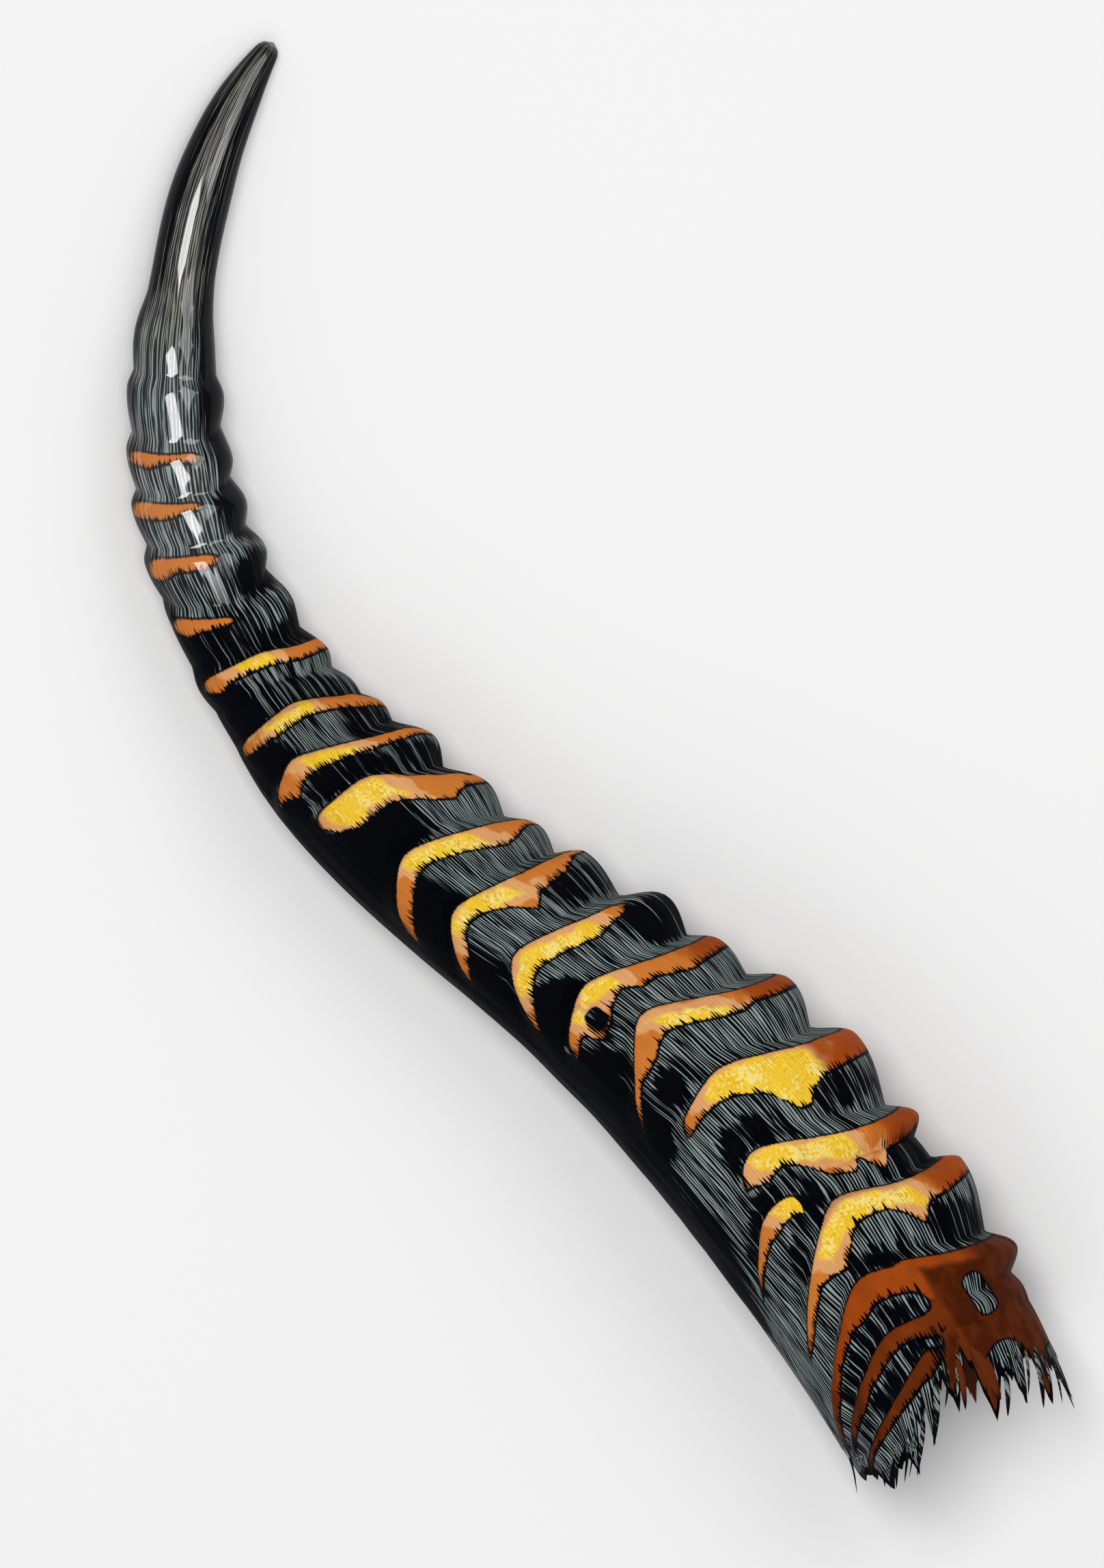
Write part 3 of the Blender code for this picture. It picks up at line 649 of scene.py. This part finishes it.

# %% [markdown]
# ## Where the painted shade is black
# The back of the horn is its shadow side, and there it is painted black as painted shade. The painted shade
# reaches round onto the faces in the middle of the horn, lies in patches in the valleys, and runs along both
# edges of the tip, so that only a grey strip is left on the crown. Elsewhere the dark skin is drawn with fine
# grey fibres.

# %% Painted shade table
# Each edge of the painted shade is a list of stations and places, in mm. A patch of painted shade, or one
# that clears it, has its middle so many mm past its ring's band and at a place, and two half sizes. Its limit
# is the most that it counts for.
BACK_SHADE_EDGE = [(-15, -33), (40, -33), (50, -29), (60, -26), (80, -23), (100, -22), (106, -18), (112, -13),
             (126, -13), (133, -9), (140, -12), (147, -16), (152, 1), (157, -1), (161, -5), (166, -12),
             (172, -10), (187, -11), (191, -2), (204, -4), (210, 0), (218, 6), (224, 1), (229, -12),
             (235, -13), (239, -9), (246, -15), (249, -4), (254, -5), (259, -14), (262, -3), (272, -4),
             (277, -13), (281, -6), (288, -8), (292, -12), (335, -11), (350, -10), (366, -9), (372, -7),
             (380, -5), (400, -4), (420, -3), (440, -2), (449, 0)]
FRONT_SHADE_EDGE = [(-15, 60), (290, 60), (300, 20), (306, 14), (310, 8), (320, 7), (326, 9), (332, 8),
              (340, 6.5), (350, 6), (370, 4.5), (400, 4), (420, 3), (440, 1), (449, 0)]
Patch = namedtuple("Patch", "ring past place half_length half_width limit")
SHADE_PATCHES = [
    Patch(0, 3.0, -10, 3.0, 13.0, 0.8), Patch(1, 3.0, -10, 3.2, 14.0, 0.8), Patch(2, 3.0, 6, 3.5, 9.5, 3.0),
    Patch(2, 8.0, 27, 6.0, 7.0, 1.5), Patch(3, 5.0, -7, 4.5, 8.0, 0.8), Patch(3, 5.0, 26, 5.5, 7.5, 1.2),
    Patch(4, 2.5, -12, 3.2, 9.0, 3.0), Patch(5, 5.0, -4, 5.0, 9.0, 1.8), Patch(5, 12.0, 24, 4.5, 7.5, 1.0),
    Patch(6, 7.0, -7, 5.6, 6.3, 3.0), Patch(8, -8.0, -6.3, 5.0, 3.6, 4.0), Patch(8, 11.0, 24, 7.0, 7.5, 2.5),
    Patch(9, 12.0, 20, 5.0, 6.5, 1.2), Patch(11, 9.0, 1, 8.5, 8.5, 2.2), Patch(12, 7.0, 20, 7.5, 5.5, 1.5),
    Patch(12, 4.5, 3, 4.5, 14.0, 1.6), Patch(13, 4.0, 15, 5.0, 6.0, 1.5),
    Patch(13, 9.0, 14.5, 5.0, 4.5, 1.5), Patch(14, 3.0, 5, 4.5, 13.0, 0.6),
    Patch(16, 6.0, 2, 6.5, 22.0, 1.6), Patch(17, 8.0, 11, 6.5, 7.0, 3.0),
]
UNSHADED_PATCHES = [Patch(17, -3.0, 10.5, 4.5, 6.0, 2.0)]
INK_LIMIT, INK_RIM = 4.0, (4.5, 1.0)
print(len(SHADE_PATCHES) + len(UNSHADED_PATCHES), "patches")


# %% Painted shade: how black each point is
def patch_depth(patch, s, angle, place):
    """Distance inside a rounded patch, in mm: its smaller half size times 1 - (x^3 + y^3)^(1/3), where x and
    y run from 0 in its middle to 1 at its sides."""
    past = (s - tip_edge(RINGS[patch.ring], angle)) / MM
    lengthwise = np.abs((past - patch.past) / patch.half_length)
    across = np.abs((place - patch.place) / patch.half_width)
    inside = (1 - np.cbrt(lengthwise ** 3 + across ** 3)) * min(patch.half_length, patch.half_width)
    return np.minimum(inside, patch.limit)


def painted_shade_field(s, angle, place):
    """Distance inside the nearest area of painted shade, in mm, or outside it where it is negative. A shade
    patch with a small limit stays near zero, where the noise of the material breaks it up into strokes."""
    station = s / MM
    back = np.interp(station, *zip(*BACK_SHADE_EDGE)) - place
    front = place - np.interp(station, *zip(*FRONT_SHADE_EDGE))
    shade_and_dark_rim = np.maximum(back, front)
    for patch in SHADE_PATCHES:
        shade_and_dark_rim = np.maximum(shade_and_dark_rim, patch_depth(patch, s, angle, place))
    for patch in UNSHADED_PATCHES:
        shade_and_dark_rim = np.minimum(shade_and_dark_rim, -patch_depth(patch, s, angle, place))
    return np.clip(shade_and_dark_rim, -INK_LIMIT, INK_LIMIT)


shade_and_dark_rim = painted_shade_field(outer_stations, column_angle, outer_places)
# The torn rim is black as well, on top of the painted shade.
shade_and_dark_rim = np.maximum(shade_and_dark_rim, INK_LIMIT * (2 * smooth_step(*INK_RIM, (outer_stations - rim) / MM) - 1))
polish = smooth_step(POLISH_START, POLISH_END, outer_stations)
print("share of the outside that is black:", round(float((shade_and_dark_rim > 0).mean()), 2))

# %% [markdown]
# ## The sheath as a mesh
# The mesh carries three vector attributes for its material. `grain` is the place on the horn as if it were a
# straight rod of one thickness, so a pattern stretched along its third axis runs with the fibres, has no
# seam and does not notice the rings. `band` holds the depth in the amber, its fraying and the distance
# outside the gold, which is partly painted highlight. `tone` holds rust, which towards the edges of the face
# is painted shade, then the painted shade with the black of the torn rim, and polish, and the inside of the
# hollow has the polish -1.

# %% Build the sheath
GRAIN_RADIUS = 24 * MM


def grain_of(s, angle):
    """The point on a straight rod: x and y are its radius times cosine and sine of the angle, and z is s."""
    x, y = GRAIN_RADIUS * np.cos(angle), GRAIN_RADIUS * np.sin(angle)
    return np.stack(np.broadcast_arrays(x, y, s), axis=-1)


def with_hollow(*fields):
    """Fields side by side, as vectors. Each is given with the one value that it has on the rows of the
    hollow, which come before its outer rows."""
    return np.stack([np.concatenate([np.full(hollow_stations.shape, inside), values])
                     for values, inside in fields], axis=-1)


points = np.clip(np.concatenate([hollow[::-1], outer]), low, high)
grain = grain_of(np.concatenate([hollow_stations[::-1], outer_stations]), column_angle)
band = with_hollow((depth, FAR_OUTSIDE), (frayed, 0.0), (off_gold_and_highlight, OFF_GOLD_LIMIT))
tone = with_hollow((rust, 0.0), (shade_and_dark_rim, 0.0), (polish, -1.0))
sheath = tube_mesh("horn_sheath", hollow_end, points[None], tip_end,
                   {"grain": grain[None], "band": band[None], "tone": tone[None]})

# %% [markdown]
# ## Loose strands
# Along the splinters strands of fibre have come free, each slightly bent and pointed. They are slim closed
# tubes, flattened against the horn, that start on the outside of the splinters and run down to about their
# tips. The coarse ones on the face that is seen are listed one by one, and the fine ones are drawn at random.

# %% Table of coarse strands, and the fine ones
# Stations, places, half widths and lifts are in mm, and brown is a share.
Strand = namedtuple("Strand", "root_station root_place tip_station tip_place width lift brown")
COARSE = [
    Strand(3, 29.3, -8.4, 26.3, 1.0, 0.0, 0.0), Strand(2, 29.6, -8.2, 28.4, 0.9, 0.8, 0.0),
    Strand(8, 26.5, -7.2, 21.2, 1.9, 0.0, 0.3), Strand(6, 28.0, -7.0, 23.9, 1.3, 0.3, 0.0),
    Strand(9, 21.5, -3.9, 17.7, 2.0, 0.0, 0.0), Strand(8, 24.0, -2.0, 19.0, 1.0, 0.3, 0.0),
    Strand(6, 16.5, -4.6, 11.6, 1.5, 0.2, 0.0), Strand(17, 13.0, 0.2, 12.2, 3.6, 0.0, 1.0),
    Strand(15, 7.0, 2.2, 2.6, 1.7, 0.3, 0.9), Strand(14, 3.5, 5.2, -2.0, 0.8, 0.3, 0.0),
    Strand(12, -1.5, -2.6, -9.4, 1.7, 0.2, 0.0), Strand(6, -8.5, -7.7, -17.1, 1.3, 0.0, 0.0),
    Strand(4, -12.0, -7.0, -18.8, 0.7, 0.5, 0.0), Strand(3, -14.5, -7.6, -20.7, 1.0, 0.0, 0.0),
    Strand(3, -18.0, -8.0, -23.3, 1.4, 0.0, 0.0), Strand(3, -22.5, -6.4, -25.8, 1.4, 0.0, 0.0),
    Strand(5, -27.5, -2.6, -29.0, 1.1, 0.4, 0.0), Strand(10, -31.0, -4.8, -30.5, 1.0, 4.0, 0.0),
]
FINE_PER_SPLINTER, STRAND_SEED = 3, 77
# Limits of the random draws: the offset in rim columns, and the others in mm.
FINE_LIMITS = {"offset": (-0.7, 0.7), "past tip": (0, 4), "past root": (0, 7), "half width": (0.45, 0.9),
               "lift": (-0.5, 0.6)}
TIP_SLOPE, LEAST_SHORTER = 0.9, 0.6 * MM
WIDEST_SHARE = 0.98


def angle_at(station, place):
    """The angle on the upper side where the surface has this place: the arc cosine of place over radius."""
    share = place / (valley_radius(station * MM) / MM)
    return np.arccos(np.clip(share, -WIDEST_SHARE, WIDEST_SHARE))


def fine_strands():
    """Random strands on each splinter, from its root to near its edge, all the way round."""
    generator = np.random.default_rng(STRAND_SEED)
    column = 1 + 2 * np.repeat(np.arange(RIM_COLUMNS // 2), FINE_PER_SPLINTER)
    offset, past_tip, past_root, width, lift = (generator.uniform(*limits, len(column))
                                                for limits in FINE_LIMITS.values())
    angle = np.interp(column + offset, np.arange(RIM_COLUMNS + 1), corner_angles())
    tip = corners[column] + np.abs(offset) * (notches[column] - corners[column]) * TIP_SLOPE
    tip = np.maximum(tip + past_tip * MM, corners.min() + LEAST_SHORTER)
    start = along_rim(notches, column + offset) + past_root * MM
    lean = SPLINTER_LEAN * (start - tip) / valley_radius(tip) * np.sin(angle)
    return np.stack([start, angle, tip, angle + lean, width * MM, lift * MM, np.zeros(len(column))], axis=1)


def coarse_strands():
    """The table's strands with angles for places: start, angle, tip, angle, half width, lift and brown."""
    start, start_place, tip, tip_place, width, lift, brown = np.array(COARSE).T
    return np.stack([start * MM, angle_at(start, start_place), tip * MM, angle_at(tip, tip_place), width * MM,
                     lift * MM, brown], axis=1)


strands = np.concatenate([coarse_strands(), fine_strands()])
print(len(strands), "strands")


# %% Strands as tubes
STRAND_ROWS, STRAND_SIDES = 14, 8
STRAND_BEND, BLUNT_START, BLUNT_POWER, POINT_POWER = 1.3, 0.02, 0.35, 0.7
STRAND_SINK, STRAND_END = 0.3 * MM, 0.3 * MM
HALF_THICKNESS, HALF_WIDTH = 0.6, 1.2


def strand_tubes(table):
    """A strand runs from root to tip over t = 0 to 1. Its angle turns with t^1.3 and it lifts off with t^2.
    Its size is its width times (t + 0.02)^0.35 (1 - t)^0.7, so that it is blunt at the root and pointed at
    the tip."""
    first_s, first_angle, last_s, last_angle, width, lift, brown = (column[:, None] for column in table.T)
    t = np.linspace(0, 1, STRAND_ROWS)[None, :]
    s = first_s + (last_s - first_s) * t
    angle = first_angle + (last_angle - first_angle) * t ** STRAND_BEND
    size = (width * np.clip(t + BLUNT_START, 0, 1) ** BLUNT_POWER * (1 - t) ** POINT_POWER)[..., None]
    radius = valley_radius(s) - STRAND_SINK + lift * t ** 2
    side = np.arange(STRAND_SIDES) * 2 * np.pi / STRAND_SIDES
    whole_radius = radius[..., None] + size * np.sin(side) * HALF_THICKNESS
    whole_angle = angle[..., None] + size * np.cos(side) * HALF_WIDTH / whole_radius
    whole_station = np.broadcast_to(s[..., None], whole_angle.shape)
    starts, rings, ends = (np.clip(surface_point(*place), low, high) for place in (
        (s[:, 0], angle[:, 0], radius[:, 0]), (whole_station, whole_angle, whole_radius),
        (s[:, -1] - STRAND_END, angle[:, -1], radius[:, -1])))
    tone = np.stack(np.broadcast_arrays(brown[..., None], t[..., None], np.zeros_like(whole_angle)), axis=-1)
    return starts, rings, ends, {"grain": grain_of(whole_station, whole_angle), "tone": tone}


fibres = tube_mesh("torn_fibres", *strand_tubes(strands))

# %% [markdown]
# ## A small language for materials
# A node tree is easier to read as sums. This class wraps one socket, so that `1 - mask * 0.5` adds the Math
# nodes for it. Every other kind of node comes from its method `node`, which takes a type, settings and
# inputs. The steps and colour mixes that the materials use most have short methods of their own.

# %% Shader maths
def set_inputs(node, inputs):
    """Sets inputs by name or number: with a link for a Value, and directly for anything else."""
    for name, given in inputs.items():
        if isinstance(given, Value):
            given.material.node_tree.links.new(given.socket, node.inputs[name])
        else:
            node.inputs[name].default_value = given


class Value:
    """One output socket of a material, on which + - and * add Math nodes. Without one it only adds nodes."""

    def __init__(self, material, socket=None):
        self.material, self.socket = material, socket

    def node(self, kind, settings=None, inputs=None, output=0):
        """Adds a node, sets its settings first and then its inputs, and returns one of its outputs."""
        node = self.material.node_tree.nodes.new(kind)
        for name, setting in (settings or {}).items():
            setattr(node, name, setting)
        set_inputs(node, inputs or {})
        return Value(self.material, node.outputs[output])

    def math(self, operation, first, second=0.0):
        return self.node("ShaderNodeMath", {"operation": operation}, {0: first, 1: second})

    def __add__(self, other):
        return self.math("ADD", self, other)

    def __sub__(self, other):
        return self.math("SUBTRACT", self, other)

    def __mul__(self, other):
        return self.math("MULTIPLY", self, other)

    def __rsub__(self, other):
        return self.math("SUBTRACT", other, self)

    __radd__, __rmul__ = __add__, __mul__

    def parts(self):
        """The three numbers of a vector."""
        split = self.node("ShaderNodeSeparateXYZ", None, {0: self}).socket.node
        return [Value(self.material, part) for part in split.outputs]

    def step(self, start, stop):
        """0 up to start and 1 from stop on, smooth between them."""
        return self.node("ShaderNodeMapRange", {"interpolation_type": "SMOOTHSTEP"},
                         {"Value": self, "From Min": start, "From Max": stop})

    def mix(self, first, second):
        """Two colours mixed by this value: the first where it is 0 and the second where it is 1."""
        return self.node("ShaderNodeMix", {"data_type": "RGBA"}, {0: self, 6: first, 7: second}, output=2)

    def noise(self, size):
        """Noise on the straightened horn. A size tells how many mm its features are across and along it."""
        across, along = 1 / (size.across * MM), 1 / (size.along * MM)
        stretched = self.node("ShaderNodeMapping", {"vector_type": "POINT"},
                              {"Vector": self, "Scale": (across, across, along)})
        return self.node("ShaderNodeTexNoise", {"noise_dimensions": "3D"},
                         {"Vector": stretched, "Scale": 1.0, "Detail": size.detail,
                          "Roughness": size.roughness})

    def bump(self, distance, strength):
        """The normals that a relief of this height gives: the distance is that of a height of 1."""
        return self.node("ShaderNodeBump", None,
                         {"Height": self, "Distance": distance, "Strength": strength}, output="Normal")


def new_material(name, *attributes):
    """A material, its shader, and the mesh attributes that it reads, as vectors."""
    material = bpy.data.materials.new(name)
    material.use_nodes = True
    vectors = [Value(material).node("ShaderNodeAttribute", {"attribute_name": attribute}, output="Vector")
               for attribute in attributes]
    return material, material.node_tree.nodes["Principled BSDF"], vectors


def colour(text):
    """A colour such as cd7b3f in the linear values that a shader takes: each channel c becomes
    ((c + 0.055) / 1.055) ^ 2.4."""
    channels = [int(text[i:i + 2], 16) / 255 for i in (0, 2, 4)]
    return tuple(((c + 0.055) / 1.055) ** 2.4 if c > 0.04 else c / 12.92 for c in channels) + (1.0,)


# %% [markdown]
# ## Keratin
# The dark skin of the horn is nearly black, with fine grey-green fibres drawn along it. They come from one
# sine wave that counts round the horn, swayed and broken by noise. The same wave pulls dark spikes into the
# frayed edges of the amber bands. The bands are gold in the middle of the faces, orange round that, and
# red-brown at the base. The gold is partly painted highlight, and the rust that the bands take on towards the
# edges of the faces is painted shade. Where the painted shade lies, the skin is black without fibres.

# %% Colours
BLACK, GREY, TIP_GREY = colour("030409"), colour("93a09f"), colour("8c8b80")
# The gold colours are partly the amber's own colour and partly painted highlight.
ORANGE, PALE_ORANGE, GOLD = colour("cd7832"), colour("dfa26a"), colour("f2c634")
PALE_GOLD, DEEP_GOLD = colour("f5df84"), colour("e6b42c")
RUST, BROWN, DARK_BROWN, INSIDE = colour("a3470f"), colour("5e2709"), colour("481b06"), colour("4a3422")
STROKES_ROUND, STROKES_AT_TIP = 224.0, 84.0
SLIM_FROM, SLIM_TO = 250 * MM, 300 * MM
CROWN_FROM, CROWN_TO = 345 * MM, 380 * MM

# Noises, with their sizes in mm.
Noise = namedtuple("Noise", "across along detail roughness")
HAIR, BUNDLE, BREAKS = Noise(0.5, 9, 2, 0.6), Noise(2.4, 26, 2, 0.5), Noise(1.0, 11, 1, 0.5)
LENGTH, BLOTCH, SPECK = Noise(0.9, 40, 1, 0.5), Noise(4.5, 7, 2, 0.5), Noise(0.6, 0.9, 2, 0.6)
TORN_HAIR = Noise(0.4, 8, 2, 0.6)


# %% The fibres as a wave
def fibre_wave(x, y, sway, slim):
    """0 to 1 and back for each fibre round the horn: half of 1 + sin(N times the angle, plus the sway). The
    slim upper horn has room for fewer fibres, so a second wave with a smaller N takes over there."""
    angle = y.math("ARCTAN2", y, x)
    wide, narrow = (sway.math("SINE", angle * strokes + sway) for strokes in (STROKES_ROUND, STROKES_AT_TIP))
    return (wide * (1 - slim) + narrow * slim) * 0.5 + 0.5


# %% The sheath's material
def keratin():
    """Dark skin with grey fibres, under amber bands. Both are broken up by the same noises, and so agree."""
    material, shader, (grain, band, tone) = new_material("ringed_keratin", "grain", "band", "tone")
    x, y, z = grain.parts()
    depth, frayed, off_gold_and_highlight = band.parts()
    rust, shade_and_dark_rim, polish = tone.parts()
    hair, bundle, breaks, length, blotch, speck = (grain.noise(size) for size in
                                                   (HAIR, BUNDLE, BREAKS, LENGTH, BLOTCH, SPECK))
    wave = fibre_wave(x, y, bundle * 16.0 + hair * 1.5, z.step(SLIM_FROM, SLIM_TO))
    shine, crown = polish.step(0.0, 1.0), z.step(CROWN_FROM, CROWN_TO)

    # The skin: grey strokes on black. The painted shade turns them black, and they stop short of the bands,
    # which
    # leaves a thin black line round each band: painted shade in the crease on a band's tipward side, and a
    # dark edge on its other sides.
    stroke = (wave + (breaks - 0.5) * 2.0 + crown * 0.1).step(0.5, 0.84)
    dark = (shade_and_dark_rim + (length - 0.5) * 11.0 + (hair - 0.5) * 4.0).step(-0.7, 0.7)
    contour = (0.0 - depth).step(0.15, 0.8)
    light = stroke * (1 - dark) * contour * (0.88 + (blotch - 0.5) * 0.8 + (hair - 0.5) * 0.8)
    skin = light.mix(BLACK, crown.mix(GREY, TIP_GREY))

    # The amber: gold leaf, which is partly painted highlight, with orange round it, and rust and brown
    # towards the base. Rust comes also as painted shade towards the edges of the face.
    pale = (off_gold_and_highlight + (blotch - 0.5) * 12.0).step(4.5, 3.0)
    gold_and_highlight = (off_gold_and_highlight + (blotch - 0.5) * 6.0 + (speck - 0.5) * 3.0).step(0.6, -0.6)
    leaf = (speck * 0.55 + blotch * 0.45).step(0.5, 0.58).mix(GOLD, PALE_GOLD)
    leaf = (speck * 0.7 + bundle * 0.3).step(0.47, 0.4).mix(leaf, DEEP_GOLD)
    warm = gold_and_highlight.mix(pale.mix(ORANGE, PALE_ORANGE), leaf)
    warm = (rust + (blotch - 0.5) * 0.5).step(0.12, 0.5).mix(warm, RUST)
    brown = blotch.step(0.4, 0.62).mix(DARK_BROWN, BROWN)
    warm = (rust + (blotch - 0.5) * 0.4).step(0.5, 0.95).mix(warm, brown)

    # Where the amber shows: its edge is drawn in by the strokes where the band is frayed.
    fray = (1 - wave) * length.step(0.4, 0.66) * 2.2 + (hair - 0.5) * 2.6 + 0.3
    amber = (depth - fray * (0.12 + frayed * 0.88)).step(-0.25, 0.35)
    hollow = (0.0 - polish).step(0.3, 0.6)
    relief = wave * (1 - shine * 0.8) + bundle * 0.8 + hair * 0.5
    set_inputs(shader, {
        "Base Color": hollow.mix(amber.mix(skin, warm), stroke.mix(BROWN, INSIDE)),
        "Roughness": 0.52 - shine * 0.3 + (speck - 0.5) * 0.12 - amber * 0.05,
        "Coat Weight": shine * (0.95 - dark * 0.85), "Coat Roughness": 0.07, "Coat IOR": 1.85,
        "Specular IOR Level": 0.02, "Normal": relief.bump(0.22 * MM, 0.6)})
    return material


sheath.data.materials.append(keratin())
print("ringed_keratin has", len(sheath.active_material.node_tree.nodes), "nodes")


# %% The loose strands' material
def torn_keratin():
    """Black with grey streaks that grow fewer towards the tip, and brown at the root of some strands."""
    material, shader, (grain, tone) = new_material("torn_keratin", "grain", "tone")
    brown, along = tone.parts()[:2]
    hair = grain.noise(TORN_HAIR)
    shown = ((hair - along * along * 0.3).step(0.46, 0.56) * 0.8).mix(BLACK, GREY)
    set_inputs(shader, {
        "Base Color": (brown - along * 0.75 + (hair - 0.5) * 0.5).step(0.2, 0.45).mix(shown, BROWN),
        "Roughness": 0.55, "Specular IOR Level": 0.05, "Normal": hair.bump(0.2 * MM, 0.5)})
    return material


fibres.data.materials.append(torn_keratin())
print("torn_keratin has", len(fibres.active_material.node_tree.nodes), "nodes")

# %% [markdown]
# ## Fit the pieces to the frame
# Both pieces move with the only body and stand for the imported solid, which stays behind for collision.

# %% Ride and replace
for piece in (sheath, fibres):
    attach(piece, "root")
    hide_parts("horn")
print(sheath.name, "and", fibres.name, "ride on the only body")

# %% [markdown]
# ## Floor, light and camera
# The horn lies on a pale floor and is seen from straight above, as a specimen is drawn. A long lens keeps it
# nearly free of perspective. A broad light on the side of the rings shows their relief, a broader one
# opposite fills its shadows, and one high above makes the bright spots on the polished crown.

# %% Floor
FLOOR_SIZE, FLOOR_COLOUR, FLOOR_ROUGHNESS = 6.0, (0.9, 0.9, 0.9, 1), 0.9
bpy.ops.mesh.primitive_plane_add(size=FLOOR_SIZE, location=(0, 0, 0))
floor = bpy.context.object
floor.name = "floor"
paper, paper_shader, _ = new_material("pale_floor")
set_inputs(paper_shader, {"Base Color": FLOOR_COLOUR, "Roughness": FLOOR_ROUGHNESS})
floor.data.materials.append(paper)
print("the floor is", FLOOR_SIZE, "m wide")


# %% Lights
# Places and sides are in metres, and powers in watts.
Light = namedtuple("Light", "name place target sides power")
LIGHTS = [
    Light("key", (1.0, 0.2, 1.3), (0, 0, 0), (0.9, 0.9), 5),
    Light("fill", (-0.9, -0.7, 1.3), (0, 0, 0), (1.2, 1.2), 5),
    Light("crown", (-0.06, 0.25, 1.8), (-0.06, 0.2, 0), (0.6, 1.2), 17),
]
WORLD_COLOUR, WORLD_STRENGTH = (1, 1, 1, 1), 0.3


def add_light(light):
    """An area light that faces its target: it tips over by the angle from straight down, then turns."""
    data = bpy.data.lights.new(light.name, "AREA")
    data.shape, data.energy = "RECTANGLE", light.power
    data.size, data.size_y = light.sides
    lamp = bpy.data.objects.new(light.name, data)
    bpy.context.scene.collection.objects.link(lamp)
    offset = np.array(light.target) - np.array(light.place)
    tilt = math.acos(-offset[2] / np.linalg.norm(offset))
    lamp.location = light.place
    lamp.visible_camera = False
    lamp.rotation_euler = (tilt, 0, math.atan2(offset[1], offset[0]) - math.pi / 2)


for light in LIGHTS:
    add_light(light)
world = bpy.data.worlds.new("studio")
world.use_nodes = True
set_inputs(world.node_tree.nodes["Background"], {"Color": WORLD_COLOUR, "Strength": WORLD_STRENGTH})
bpy.context.scene.world = world
bpy.context.scene.view_settings.view_transform = "Standard"
print(len(LIGHTS), "lights")

# %% Camera
# The height of the picture in pixels, and what one of them spans at the horn.
PICTURE_HEIGHT = 2296
PICTURE_SCALE = 0.18 * MM
PICTURE_CENTRE = (5.0 * MM, 4.58 * MM)
PICTURE_TURN = math.radians(35.45)
LENS, SENSOR = 600.0, 36.0
MEAN_HEIGHT = 35 * MM
distance = PICTURE_HEIGHT * PICTURE_SCALE * LENS / SENSOR
camera_data = bpy.data.cameras.new("camera")
camera_data.lens, camera_data.sensor_width = LENS, SENSOR
camera = bpy.data.objects.new("camera", camera_data)
bpy.context.scene.collection.objects.link(camera)
camera.location = (*PICTURE_CENTRE, MEAN_HEIGHT + distance)
camera.rotation_euler = (0, 0, -PICTURE_TURN)
bpy.context.scene.camera = camera
print("the camera is", round(distance, 2), "m above the horn")
